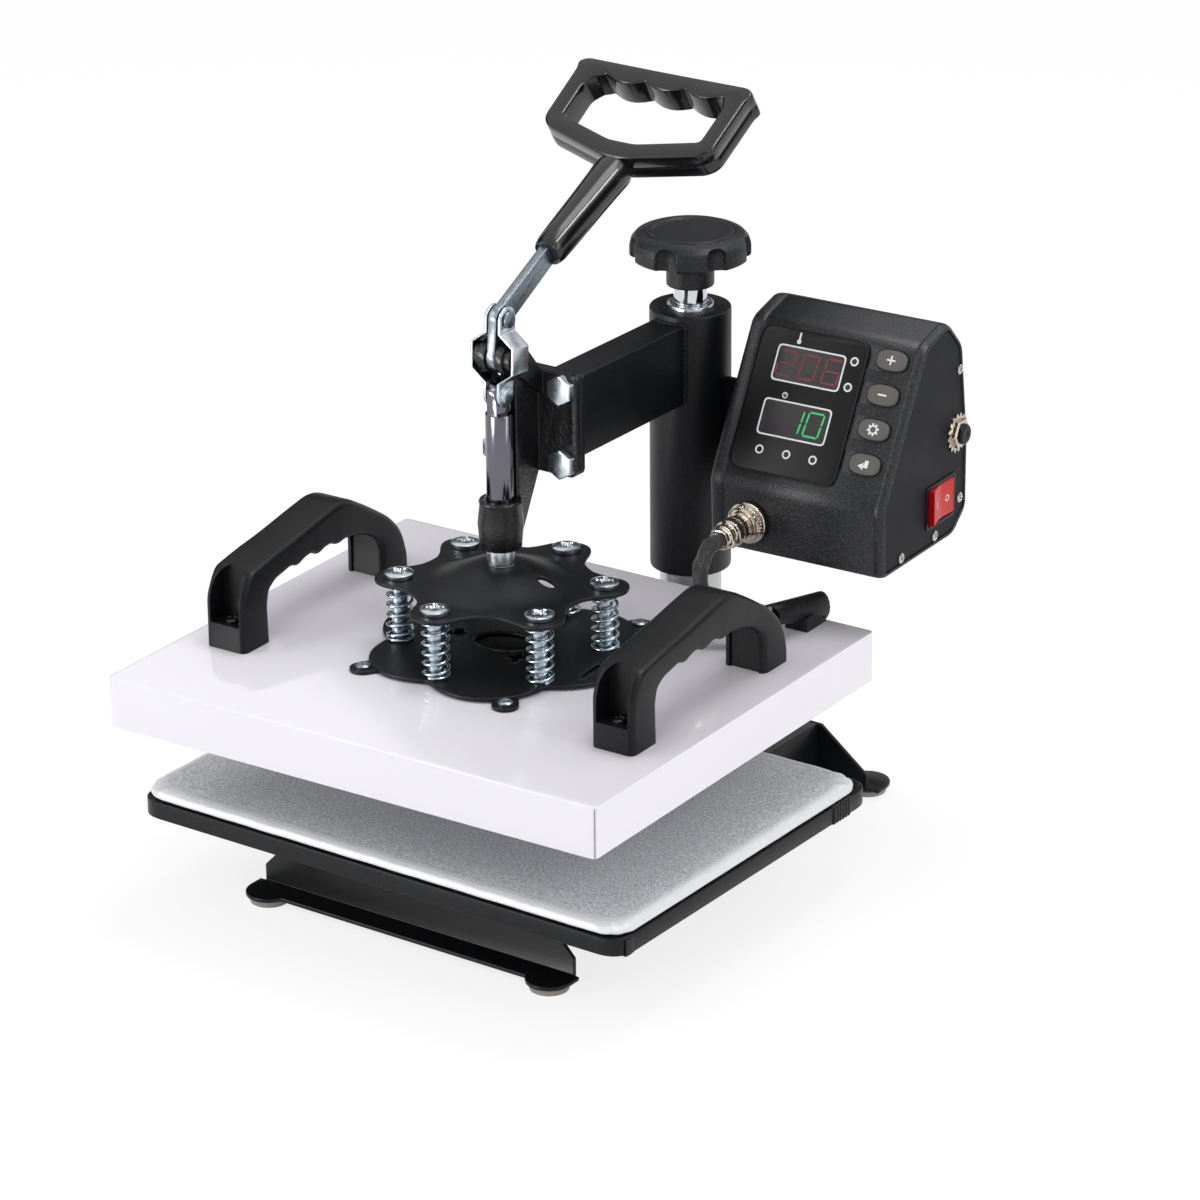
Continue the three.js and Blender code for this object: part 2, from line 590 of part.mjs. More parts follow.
// The grip ring lies in a tilted plane: u is X, v climbs the tilt
function gripRing() {
  const outer = gripOuterShares.map(([u, v]) => [u * grip.halfWidth, v * grip.height]);
  const inner = gripInnerShares.map(([u, v]) => [u * grip.innerHalf, v * grip.height]);
  const mirror = (points) => points.map(([u, v]) => [-u, v]).reverse();
  const fingerSteps = 17;
  const fingers = Array.from({ length: fingerSteps }, (_, k) => {
    const u = grip.innerHalf * (1 - (2 * (k + 1)) / (fingerSteps + 1));
    const wave = -Math.cos((2 * Math.PI * u) / grip.scallopPitch);
    return [u, grip.innerTop + grip.scallop * wave];
  });
  const shape = roundedOutline([...outer, ...mirror(outer)], grip.edge * 2);
  shape.holes.push(roundedOutline([...inner, ...fingers, ...mirror(inner)], grip.edge));
  const geometry = new THREE.ExtrudeGeometry(shape, { depth: grip.thick, bevelEnabled: false, curveSegments: 3 });
  geometry.translate(0, 0, -grip.thick / 2);
  geometry.rotateX(grip.ringTilt);
  geometry.translate(0, -reach + grip.ringFromPivotY, pivot.height + grip.ringFromPivotZ);
  return solid(geometry);
}

function leverGrip() {
  const start = [crankY + Math.cos(lever.incline) * lever.bare, crankZ + Math.sin(lever.incline) * lever.bare];
  const ringPoint = (share) => {
    const angle = grip.neckIncline;
    const y = start[0] + Math.cos(angle) * grip.neckLength * share;
    const z = start[1] + Math.sin(angle) * grip.neckLength * share;
    const half = grip.neckStartHalf + (grip.neckEndHalf - grip.neckStartHalf) * share;
    return around(smallSides, 0, (a) => new THREE.Vector3(
      Math.cos(a) * half * grip.neckSlim,
      y - Math.sin(angle) * Math.sin(a) * half,
      z + Math.cos(angle) * Math.sin(a) * half,
    ));
  };
  const neckShares = [0, 0.5, 1];
  const neck = skin(neckShares.map(ringPoint));
  const direction = [Math.cos(lever.incline), Math.sin(lever.incline)];
  const along = (distance, side) => [crankY + direction[0] * distance - direction[1] * side,
    crankZ + direction[1] * distance + direction[0] * side];
  const slotEnd = lever.bare + lever.inGrip + gap;
  const half = lever.startHalf + gap;
  const slot = slabX(outline([along(0, -half), along(slotEnd, -half), along(slotEnd, half), along(0, half)]),
    -lever.halfThick - gap, lever.halfThick + gap);
  return cut(joined(neck, gripRing()), slot);
}

const linkTop = [crankY, crankZ];
const linkFoot = [-reach, plungerPinHeight];
const linkLength = Math.hypot(linkTop[0] - linkFoot[0], linkTop[1] - linkFoot[1]);
const linkLean = Math.atan2(linkTop[0] - linkFoot[0], linkTop[1] - linkFoot[1]);

// One bulged plate, made upright about the plunger pin and then leaned back to the crank pin
function linkPlate(side) {
  const middle = linkLength / 2;
  const profile = (extra) => {
    const low = link.inner + extra;
    const high = link.bulgeInner + extra;
    return [[low, -link.halfWidth], [low, middle - link.rampHalf], [high, middle - link.bulgeHalf],
      [high, middle + link.bulgeHalf], [low, middle + link.rampHalf], [low, linkLength + link.halfWidth]];
  };
  const section = [...profile(0), ...profile(link.sheet).reverse()].map(([x, z]) => [x * side, z]);
  const sheet = slabY(outline(section), -link.halfWidth, link.halfWidth);
  const stadium = new THREE.Shape();
  stadium.absarc(0, 0, link.halfWidth, Math.PI, 2 * Math.PI, false);
  stadium.absarc(0, linkLength, link.halfWidth, 0, Math.PI, false);
  const wide = link.bulgeInner + link.sheet + overrun;
  const plate = sheet.intersect(slabX(stadium, -wide, wide, 8));
  const hole = drumX(0, linkLength, link.pinHole, -wide, wide, smallSides);
  const head = link.inner + link.sheet;
  const heads = side > 0 ? [head, head + link.headThick] : [-head - link.headThick, -head];
  return joined(cut(plate, hole), drumX(0, 0, link.headRadius, heads[0], heads[1], smallSides));
}

function linkPiece(name, side) {
  const mesh = piece(name, zinc, linkPlate(side));
  mesh.position.set(0, linkFoot[0], linkFoot[1]);
  mesh.rotation.x = -linkLean;
  return mesh;
}

function plungerRod() {
  const shoulder = plungerPinHeight - rod.shoulderDrop;
  const round = drum(0, -reach, rod.radius, rod.foot, shoulder, fineSides);
  const tongue = joined(
    block(-rod.tongueHalf, rod.tongueHalf, -reach - rod.tongueRadius, -reach + rod.tongueRadius, shoulder,
      plungerPinHeight),
    drumX(-reach, plungerPinHeight, rod.tongueRadius, -rod.tongueHalf, rod.tongueHalf));
  return joined(round, tongue);
}

// Platen pieces, made about the plunger axis
function boltRing(make) {
  return around(bolts.count, bolts.first, (angle) => make(bolts.ring * Math.cos(angle),
    bolts.ring * Math.sin(angle), angle));
}

const starFoot = star.top - star.sheet;
const lobedTop = cover.top + earPlate.thick + lobed.thick;

function starPlate() {
  const disc = drum(0, 0, star.waist, starFoot, star.top, fineSides);
  const half = Math.PI / bolts.count;
  const scallops = around(bolts.count, bolts.first + half, (angle) => drum(star.scallopRing * Math.cos(angle),
    star.scallopRing * Math.sin(angle), star.scallop, starFoot - overrun, star.top + overrun));
  const ears = boltRing((x, y) => drum(x, y, star.earRadius, starFoot, star.top));
  const holes = boltRing((x, y) => drum(x, y, bolts.hole, starFoot - overrun, star.top + overrun, smallSides));
  const slots = [0, Math.PI].map((angle) => drum(star.slotRing * Math.cos(angle), star.slotRing * Math.sin(angle),
    star.slotHalf, starFoot - overrun, star.top + overrun, smallSides));
  const domeHeight = star.top + star.domeRise;
  const domeOuter = turned([[0, starFoot], [star.domeFoot, starFoot], [star.domeFoot, star.top],
    [star.domeTop, domeHeight], [0, domeHeight]]);
  const domeInner = turned([[0, starFoot - overrun], [star.domeFoot - star.sheet, starFoot - overrun],
    [star.domeFoot - star.sheet, starFoot], [star.domeTop, domeHeight - star.sheet], [0, domeHeight - star.sheet]]);
  const open = drum(0, 0, star.domeFoot - star.sheet / 2, starFoot - overrun, star.top + overrun, fineSides);
  const rimPlate = cut(joined(cut(disc, ...scallops), ...ears), ...holes, ...slots, open);
  return joined(rimPlate, cut(domeOuter, domeInner));
}

function lobedPlate() {
  const low = cover.top + earPlate.thick;
  const steps = 72;
  const rim = around(steps, bolts.first, (angle) => {
    const radius = lobed.waist + lobed.lobe * Math.abs(Math.sin((bolts.count / 2) * (angle - bolts.first)));
    return [radius * Math.cos(angle), radius * Math.sin(angle)];
  });
  const hole = drum(0, 0, lobed.hole, low - overrun, lobedTop + overrun);
  const slots = around(lobed.slots, bolts.first + Math.PI / bolts.count, (angle) => drum(
    lobed.slotReach * Math.cos(angle), lobed.slotReach * Math.sin(angle), lobed.slotHalf, low - overrun,
    lobedTop + overrun, smallSides));
  const boltBores = boltRing((x, y) => drum(x, y, bolts.shank + gap, low - overrun, lobedTop + overrun,
    smallSides));
  return cut(slab(outline(rim), low, lobedTop), hole.scale([lobed.holeStretch, 1, 1]), ...slots, ...boltBores);
}

// The plate under the lobed one has four screw ears and carries the six spring bolts
function boltPlate() {
  const low = cover.top;
  const high = cover.top + earPlate.thick;
  const { earSpread: spread, earReach: reachOut, earRadius: round } = earPlate;
  const corners = [[spread, reachOut], [-spread, reachOut], [-spread, -reachOut], [spread, -reachOut]];
  const ears = corners.map(([x, y]) => drum(x, y, round, low, high, smallSides));
  const arms = corners.map(([x, y]) => {
    const bar = block(0, Math.hypot(x, y), -round, round, low, high);
    return bar.rotate([0, 0, Math.atan2(y, x) / degree]);
  });
  const plate = cut(joined(drum(0, 0, earPlate.radius, low, high, fineSides), ...arms, ...ears),
    drum(0, 0, lobed.hole, low - overrun, high + overrun));
  return joined(plate, ...springBolts());
}

function springBolts() {
  const headFoot = star.top + gap;
  return boltRing((x, y, angle) => {
    const headTop = headFoot + bolts.headThick;
    const cross = [0, 90].map((turn) => block(-bolts.crossReach, bolts.crossReach, -bolts.crossHalf, bolts.crossHalf,
      headTop - bolts.crossDepth, headTop + overrun).rotate([0, 0, turn + angle / degree]).translate([x, y, 0]));
    return cut(joined(drum(x, y, bolts.shank, cover.top, headFoot, smallSides),
      drum(x, y, bolts.head, headFoot, headTop)), ...cross);
  });
}

// One spring: flat end curls, open curls between them, and a short upright run at each end
const springMean = spring.outer - spring.wire / 2;
const springLow = lobedTop + spring.seat;
const springHigh = starFoot - spring.seat;
const springPitch = (springHigh - springLow - spring.wire * 3) / spring.curls;

function springPath() {
  const half = spring.wire / 2;
  const count = spring.curls * spring.steps;
  const first = springLow + spring.wire + half;
  const coil = Array.from({ length: count + 1 }, (_, k) => {
    const angle = (k * 2 * Math.PI) / spring.steps;
    return new THREE.Vector3(springMean * Math.cos(angle), springMean * Math.sin(angle),
      first + (springPitch * k) / spring.steps);
  });
  const start = coil[0].clone().setZ(springLow);
  const end = coil.at(-1).clone().setZ(springHigh);
  return [start, ...coil, end];
}

function springTube() {
  const path = springPath();
  const upright = new THREE.Vector3(0, 0, 1);
  const rings = path.map((point, k) => {
    const atEnd = k === 0 || k === path.length - 1;
    const ahead = path[Math.min(k + 1, path.length - 1)].clone().sub(path[Math.max(k - 1, 0)]).normalize();
    const along = atEnd ? upright : ahead;
    const outward = new THREE.Vector3(point.x, point.y, 0).normalize();
    const side = along.clone().cross(outward).normalize();
    const level = side.clone().cross(along);
    return around(spring.sides, 0, (a) => point.clone()
      .addScaledVector(level, (Math.cos(a) * spring.wire) / 2)
      .addScaledVector(side, (Math.sin(a) * spring.wire) / 2));
  });
  return skin(rings);
}

function springGap() {
  const path = springPath();
  let least = Infinity;
  path.forEach((p, i) => path.slice(i + spring.steps / 2).forEach((q) => {
    least = Math.min(least, p.distanceTo(q) - spring.wire);
  }));
  return least;
}

const oneSpring = springTube();

function springPiece(angle, k) {
  const x = bolts.ring * Math.cos(angle);
  const y = bolts.ring * Math.sin(angle);
  return piece(`float_spring_${k + 1}`, zinc, oneSpring.rotate([0, 0, angle / degree]).translate([x, y, 0]));
}

function sheetCover() {
  const shape = (d) => roundedOutline(rectangle(-cover.halfWidth + d, cover.halfWidth - d, -cover.front + d,
    cover.back - d), cover.corner);
  return cut(slab(shape(0), cover.top - cover.height, cover.top, 3),
    slab(shape(cover.sheet), cover.top - cover.height - overrun, cover.top - cover.sheet, 3));
}

function insidePlate(d, low, high, corner) {
  return slab(roundedOutline(rectangle(-cover.halfWidth + d, cover.halfWidth - d, -cover.front + d,
    cover.back - d), corner), low, high, 3);
}

const heaterFoot = cover.top - cover.height - heater.drop;
const heaterTop = heaterFoot + heater.thick;

function handleBody(side) {
  const points = handleShares.map(([s, t]) => [-handle.front + s * handle.length, cover.top + t * handle.height]);
  const x = side * (cover.halfWidth - handle.inset);
  const half = handle.width / 2;
  const body = slabX(outline(points), x - half, x + half);
  const front = -handle.front;
  const pocket = block(x - handle.pocketHalf, x + handle.pocketHalf, front - overrun, front + handle.pocketDepth,
    cover.top + handle.pocketFoot, cover.top + handle.pocketTop);
  return cut(body, pocket);
}

function cableHood() {
  const low = cover.top;
  const from = new THREE.Vector3(cover.halfWidth - hood.fromInset, hood.fromY, cover.top + hood.fromZ);
  const mouth = new THREE.Vector3(cover.halfWidth - hood.toInset, hood.toY, low + hood.mouthHalfHeight);
  const shares = [0, 0.35, 0.7, 1];
  const flat = (p) => p.setZ(Math.max(p.z, low));
  const rings = shares.map((share) => {
    const middle = from.clone().lerp(mouth, share);
    const wide = hood.narrow + (hood.mouthHalfWidth - hood.narrow) * share;
    const tall = hood.narrow + (hood.mouthHalfHeight - hood.narrow) * share;
    return around(hood.sides, 0, (a) => flat(new THREE.Vector3(middle.x + wide * Math.cos(a), middle.y,
      middle.z + tall * Math.sin(a))));
  });
  const legY = (hood.fromY + hood.toY) / 2;
  const leg = block(from.x - hood.narrow / 2, mouth.x + hood.narrow / 2, legY, hood.toY, low,
    low + hood.mouthHalfHeight);
  const bore = drumY(from.x, from.z, hood.bore, hood.fromY - overrun, hood.fromY + hood.boreDepth, smallSides);
  return cut(joined(skin(rings), leg), bore);
}

// Control case, made about the middle of its front fold
const faceTilt = Math.PI / 2 - control.slope;
const facePlace = new THREE.Matrix4().makeRotationX(faceTilt);

function onFace(shape, low, high, curveSegments = 6) {
  const geometry = new THREE.ExtrudeGeometry(shape, { depth: high - low, bevelEnabled: false, curveSegments });
  geometry.translate(0, 0, low);
  geometry.applyMatrix4(facePlace);
  return solid(geometry);
}

function oval(x, y, halfWidth, halfHeight) {
  const shape = new THREE.Shape();
  shape.absellipse(x, y, halfWidth, halfHeight, 0, 2 * Math.PI, false, 0);
  return shape;
}

const buttonUps = buttonNames.map((_, k) => button.firstUp + button.pitch * k);

function caseShell() {
  const w = control.halfWidth;
  const outer = slabX(roundedOutline(caseOutline, control.round), -w, w, 3);
  const inner = slabX(roundedOutline(inset(caseOutline, control.wall), control.round), -w - overrun, w + overrun, 3);
  const holes = buttonUps.map((up) => onFace(oval(button.x, up, button.halfWidth + gap, button.halfHeight + gap),
    -control.wall - overrun, overrun));
  const socketHole = drumY(socket.x, socket.z, socket.barrel + gap, -overrun, control.wall + overrun * 2);
  const back = caseOutline[5][0];
  const glandHole = drumY(gland.x, gland.z, gland.nose + gap, back - control.wall - overrun, back + overrun);
  return cut(cut(outer, inner), ...holes, socketHole, glandHole);
}

const sideFace = control.halfWidth - control.recess;

function sidePlate(side) {
  const shape = roundedOutline(inset(caseOutline, control.wall + gap), control.round);
  const [x0, x1] = [sideFace - control.sideThick, sideFace].map((x) => x * side).sort((p, q) => p - q);
  const plate = slabX(shape, x0, x1, 3);
  if (side < 0) return plate;
  const hole = slabX(outline(rectangle(rocker.y - rockerHalfLength - rocker.clearance,
    rocker.y + rockerHalfLength + rocker.clearance, rocker.z - rockerHalfHeight - rocker.clearance,
    rocker.z + rockerHalfHeight + rocker.clearance)), x0 - overrun, x1 + overrun);
  return cut(plate, hole);
}

const rockerHalfLength = rocker.halfLength - rocker.rim;
const rockerHalfHeight = rocker.halfHeight - rocker.rim;

function rockerBezel() {
  const ring = roundedOutline(rectangle(rocker.y - rocker.halfLength, rocker.y + rocker.halfLength,
    rocker.z - rocker.halfHeight, rocker.z + rocker.halfHeight), rocker.rim);
  const open = outline(rectangle(rocker.y - rockerHalfLength - gap, rocker.y + rockerHalfLength + gap,
    rocker.z - rockerHalfHeight - gap, rocker.z + rockerHalfHeight + gap));
  return cut(slabX(ring, sideFace, sideFace + rocker.thick), slabX(open, sideFace - overrun,
    sideFace + rocker.thick + overrun));
}

// The rocker is a shallow V seen from above, made about its own hinge
function rockerSwitch() {
  const l = rockerHalfLength - rocker.clearance;
  const h = rockerHalfHeight - gap;
  const shape = outline([[-rocker.depth / 2, -l / 2], [0, -l], [rocker.thick + rocker.rise, -l],
    [rocker.thick, 0], [rocker.thick, l], [0, l], [-rocker.depth / 2, l / 2]]);
  return slab(shape, -h, h);
}

function fuseHolder() {
  const top = sideFace + fuse.thick + fuse.capThick;
  return cut(joined(drumX(fuse.y, fuse.z, fuse.radius, sideFace, sideFace + fuse.thick),
    drumX(fuse.y, fuse.z, fuse.capRadius, sideFace + fuse.thick, top)),
  block(top - fuse.slotDepth, top + overrun, fuse.y - fuse.capRadius, fuse.y + fuse.capRadius,
    fuse.z - fuse.slotHalf, fuse.z + fuse.slotHalf));
}

function panelOverlay() {
  return onFace(roundedOutline(rectangle(overlay.left, overlay.right, overlay.foot, overlay.top), overlay.corner),
    gap, overlay.thick + gap);
}

// A button is made about its own middle on the sloping face and pushed in along the face's normal
function buttonPiece(name, up) {
  const shape = oval(0, 0, button.halfWidth, button.halfHeight);
  const mesh = piece(name, greyRubber, slab(shape, -button.depth, button.proud));
  mesh.position.set(button.x, up * Math.sin(control.slope), up * Math.cos(control.slope));
  mesh.rotation.x = faceTilt;
  return mesh;
}

const socketFront = -socket.flangeThick - socket.barrelLength;

function panelSocket() {
  return joined(
    drumY(socket.x, socket.z, socket.flange, -socket.flangeThick, -gap),
    drumY(socket.x, socket.z, socket.barrel, socketFront, control.wall * 2));
}

function cablePlug() {
  const ringFront = socketFront - gap - plug.ringLength;
  return joined(
    drumY(socket.x, socket.z, plug.ring, ringFront, socketFront - gap),
    drumY(socket.x, socket.z, plug.clamp, ringFront - plug.clampLength, ringFront, 6));
}

function mainsGland() {
  const back = caseOutline[5][0];
  return cut(joined(
    drumY(gland.x, gland.z, gland.radius, back + gap, back + gap + gland.length, 6),
    drumY(gland.x, gland.z, gland.nose, back - control.wall * 2, back + gland.noseLength)),
  drumY(gland.x, gland.z, gland.bore, back - overrun * 2, back + gland.noseLength + overrun, smallSides));
}

// The board stands on four pegs behind the sloping face and carries the relay
function controlBoard() {
  const low = -control.wall - board.standOff;
  const w = board.halfWidth;
  const top = board.foot + board.height;
  const start = -board.foot;
  const plate = onFace(outline(rectangle(-w, w - board.standOff, start, top)), low - board.thick, low);
  const pegs = [-w, w - board.standOff * 3].flatMap((x) => [start, top - board.standOff].map((y) => onFace(
    outline(rectangle(x, x + board.standOff, y, y + board.standOff)), low - board.thick,
    -control.wall - gap)));
  const relayFoot = start + board.standOff;
  const can = onFace(outline(rectangle(-relay.halfWidth, relay.halfWidth, relayFoot, relayFoot + relay.height)),
    low - board.thick - relay.depth, low);
  return joined(plate, can, ...pegs);
}

// The sleeve's axis seen from the case, and the bracket between them
const caseAxis = new THREE.Vector2(-control.x, -control.y).rotateAround(new THREE.Vector2(), -caseTurn);

function boxBracket() {
  const side = -sideFace - gap;
  const z0 = caseBracket.foot;
  const z1 = z0 + caseBracket.height;
  const y0 = caseAxis.y;
  const strut = block(caseAxis.x + sleeve.radius / 2, side, y0, y0 + caseBracket.thick, z0, z1);
  const landing = block(side - caseBracket.thick, side, y0 - caseBracket.flangeHalf, y0 + caseBracket.flangeHalf, z0, z1);
  return cut(joined(strut, landing),
    drum(caseAxis.x, caseAxis.y, sleeve.radius + gap, z0 - overrun, z1 + overrun, fineSides));
}

function heaterCable() {
  const path = new THREE.CatmullRomCurve3(cablePoints.map(([x, y, z]) => new THREE.Vector3(x, y, z)));
  const section = new THREE.Shape(around(cable.sides, 0, (a) => new THREE.Vector2(Math.cos(a) * cable.radius,
    Math.sin(a) * cable.radius)));
  return solid(new THREE.ExtrudeGeometry(section, { steps: cable.steps, extrudePath: path, bevelEnabled: false }));
}

// Assembly
const baseGroup = group(0, 0, 0, 0,
  piece('base_channel', powderBlack, channel()),
  piece('front_beam', powderBlack, frontBeam()),
  piece('rear_beam', powderBlack, rearBeam()),
  ...Object.entries(footPlaces).map(([name, [x, y]]) => piece(name, aluminium,
    drum(x, y, foot.radius, 0, foot.height))),
  piece('post', zinc, postTube()),
  piece('tray', powderBlack, trayPan()),
  piece('press_pad', silverCloth, pressPad()),
);

const headGroup = group(0, 0, 0, 0,
  piece('swing_bush', nylon, swingBush()),
  piece('pressure_knob', moulded, pressureKnob()),
  piece('lift_screw', chrome, liftScrewPiece()),
  piece('swing_sleeve', powderBlack, swingSleeve()),
  piece('lift_nut', chrome, nutRing()),
  piece('arm_tube', powderBlack, armTube()),
  piece('arm_end_plate', powderBlack, armEndPlate()),
  piece('plunger_bracket', castBlack, plungerBracket()),
  ...boltPlaces.map((place, k) => piece(`flange_bolt_${k + 1}`, zinc, flangeBolt(place))),
  piece('lever_pivot_pin', zinc, leverPivotPin()),
  piece('lever_bar', zinc, leverBar()),
  piece('lever_grip', glossBlack, leverGrip()),
  linkPiece('link_left', -1),
  linkPiece('link_right', 1),
  piece('plunger_rod', chrome, plungerRod()),
);

const platenGroup = group(0, -reach, 0, platenTurn,
  piece('star_plate', powderBlack, starPlate()),
  piece('platen_cover', whiteSheet, sheetCover()),
  piece('heater_plate', aluminium, insidePlate(heater.inset, heaterFoot, heaterTop, heater.corner)),
  piece('insulation', fibre, insidePlate(heater.inset + insulation.clearance, heaterTop, cover.top - cover.sheet,
    heater.corner)),
  piece('lobed_plate', powderBlack, lobedPlate()),
  piece('bolt_plate', zinc, boltPlate()),
  ...around(bolts.count, bolts.first, springPiece),
  piece('handle_left', moulded, handleBody(-1)),
  piece('handle_right', moulded, handleBody(1)),
  piece('cable_hood', moulded, cableHood()),
);

const rockerMesh = piece('rocker_switch', redPlastic, rockerSwitch());
rockerMesh.position.set(sideFace, rocker.y, rocker.z);

const caseGroup = group(control.x, control.y, control.z, caseTurn,
  piece('case_shell', powderBlack, caseShell()),
  piece('case_side_left', powderBlack, sidePlate(-1)),
  piece('case_side_right', powderBlack, sidePlate(1)),
  piece('panel_overlay', glossBlack, panelOverlay()),
  piece('fuse_holder', moulded, fuseHolder()),
  piece('rocker_bezel', moulded, rockerBezel()),
  rockerMesh,
  ...buttonNames.map((name, k) => buttonPiece(name, buttonUps[k])),
  piece('panel_socket', zinc, panelSocket()),
  piece('cable_plug', zinc, cablePlug()),
  piece('mains_gland', moulded, mainsGland()),
  piece('control_board', boardGreen, controlBoard()),
  piece('box_bracket', powderBlack, boxBracket()),
);

console.log(`least gap between the curls of a spring: ${springGap().toFixed(2)} mm`);

// The origin is the bottom centre of the box round everything but the free cable
const press = new THREE.Group();
press.add(baseGroup, headGroup, platenGroup, caseGroup);
press.updateMatrixWorld(true);
const bounds = new THREE.Box3().setFromObject(press, true);
press.add(piece('heater_cable', moulded, heaterCable()));
press.position.set(-(bounds.min.x + bounds.max.x) / 2, -(bounds.min.y + bounds.max.y) / 2, -bounds.min.z);
const part = new THREE.Group();
part.add(press);
part.updateMatrixWorld(true);

export default part;
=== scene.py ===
# %% [markdown]
# # Swing-away heat press
# The press stands on four discs, carries a padded tray at the bottom and a heated plate on a swinging arm.
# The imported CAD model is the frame: it fixes every size. This script gives it its finishes and its finer shapes.
# Lengths are written in millimetres and turned to metres in one place.

# %% Imports and the frame
import json
import math

import bmesh
import bpy
import numpy as np
from mathutils import Matrix

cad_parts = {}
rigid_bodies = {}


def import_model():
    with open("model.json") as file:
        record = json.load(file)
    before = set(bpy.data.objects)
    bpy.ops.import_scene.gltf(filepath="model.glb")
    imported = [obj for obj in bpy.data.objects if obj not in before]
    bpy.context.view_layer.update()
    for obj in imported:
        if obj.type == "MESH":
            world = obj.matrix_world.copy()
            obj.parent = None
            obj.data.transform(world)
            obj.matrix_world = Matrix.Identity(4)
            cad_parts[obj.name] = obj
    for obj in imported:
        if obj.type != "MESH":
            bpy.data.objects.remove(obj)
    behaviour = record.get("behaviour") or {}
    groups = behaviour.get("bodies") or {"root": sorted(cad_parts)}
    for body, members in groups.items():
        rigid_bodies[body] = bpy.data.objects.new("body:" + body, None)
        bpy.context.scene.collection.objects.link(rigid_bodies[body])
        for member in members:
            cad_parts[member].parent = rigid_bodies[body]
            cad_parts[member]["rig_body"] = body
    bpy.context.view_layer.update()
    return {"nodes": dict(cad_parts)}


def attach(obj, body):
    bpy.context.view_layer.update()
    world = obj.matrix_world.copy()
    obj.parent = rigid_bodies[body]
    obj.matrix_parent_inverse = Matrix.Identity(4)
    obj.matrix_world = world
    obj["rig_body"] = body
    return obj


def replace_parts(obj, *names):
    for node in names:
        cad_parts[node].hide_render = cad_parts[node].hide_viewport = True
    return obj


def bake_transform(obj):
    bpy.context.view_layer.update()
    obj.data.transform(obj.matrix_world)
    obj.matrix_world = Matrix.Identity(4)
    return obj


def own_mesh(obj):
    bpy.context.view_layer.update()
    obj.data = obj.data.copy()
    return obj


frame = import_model()

# %% [markdown]
# ## Places
# The press is drawn round its post axis. The heated plate is turned a little about the plunger, as in the
# photograph, and the control case is turned a little about its own upright axis. Three functions take points from
# these three local places to the frame, and one more works on the sloping face of the case.

# %% Places in the frame
MM = 0.001
# The post's axis on the ground, and how far in front of it the plunger stands.
AXIS, REACH = np.array([-2.01, 135.7406, 0.0]), 178.2
PLATEN_TURN, CASE_TURN = math.radians(1.7), math.radians(3.1)
# The front fold of the case, the lean of its face from upright, and the top of the heated plate's cover.
CASE_PLACE, SLOPE, COVER_TOP = np.array([107.6, -55.6, 211.0]), math.radians(29.8), 138.8


def at_post(points):
    """Points in millimetres round the post axis, as metres in the frame."""
    return (np.asarray(points, float) + AXIS) * MM


def turned(points, angle):
    """Points turned about the upright axis: x' = x cos - y sin, y' = x sin + y cos."""
    points = np.asarray(points, float)
    x, y, z = points[..., 0], points[..., 1], points[..., 2]
    return np.stack([x * math.cos(angle) - y * math.sin(angle), x * math.sin(angle) + y * math.cos(angle), z], -1)


def at_plunger(points):
    """Points round the plunger axis, square to the press."""
    return at_post(np.asarray(points, float) + [0, -REACH, 0])


def on_platen(points):
    """Points round the plunger axis, turned with the heated plate."""
    return at_plunger(turned(points, PLATEN_TURN))


def in_case(points):
    """Points of the control case, whose origin is the middle of its front fold."""
    return at_post(turned(points, CASE_TURN) + CASE_PLACE)


def on_face(points):
    """Points (across, up the slope, out of the face) of the sloping front of the case."""
    points = np.asarray(points, float)
    u, d, n = points[..., 0], points[..., 1], points[..., 2]
    out = [u, d * math.sin(SLOPE) - n * math.cos(SLOPE), d * math.cos(SLOPE) + n * math.sin(SLOPE)]
    return in_case(np.stack(out, -1))


print("front fold of the case in metres:", in_case([0, 0, 0]).round(4))

# %% [markdown]
# ## The camera
# A long lens from the front right and above, as the photograph was taken. Its place came from fitting thirty
# corners of the CAD model to their pixels. The picture is square, so the sensor's width covers its width.

# %% Camera
AZIMUTH, ELEVATION, ROLL = (math.radians(a) for a in (35.4666, 22.4068, -0.4769))
CAMERA_PLACE, LENS = [1.51297, -2.07891, 1.2128], 154.37
back = np.array([math.sin(AZIMUTH) * math.cos(ELEVATION), -math.cos(AZIMUTH) * math.cos(ELEVATION),
                 math.sin(ELEVATION)])
level = np.array([math.cos(AZIMUTH), math.sin(AZIMUTH), 0.0])
upward = np.cross(back, level)
across = math.cos(ROLL) * level + math.sin(ROLL) * upward
upward = np.cross(back, across)
camera = bpy.data.objects.new("camera", bpy.data.cameras.new("camera"))
bpy.context.scene.collection.objects.link(camera)
camera.data.lens, camera.data.sensor_width, camera.data.clip_end = LENS, 36, 30
turn = np.identity(4)
turn[:3, 0], turn[:3, 1], turn[:3, 2], turn[:3, 3] = across, upward, back, CAMERA_PLACE
camera.matrix_world = Matrix(turn)
bpy.context.scene.camera = camera
print("camera's distance in metres:", round(float(np.linalg.norm(CAMERA_PLACE)), 2))

# %% [markdown]
# ## Making pieces
# Every new surface is a grid of points: rows along one parameter, columns along the other. One function turns such
# a grid into a mesh, closes it where it should close, and points its faces outwards.

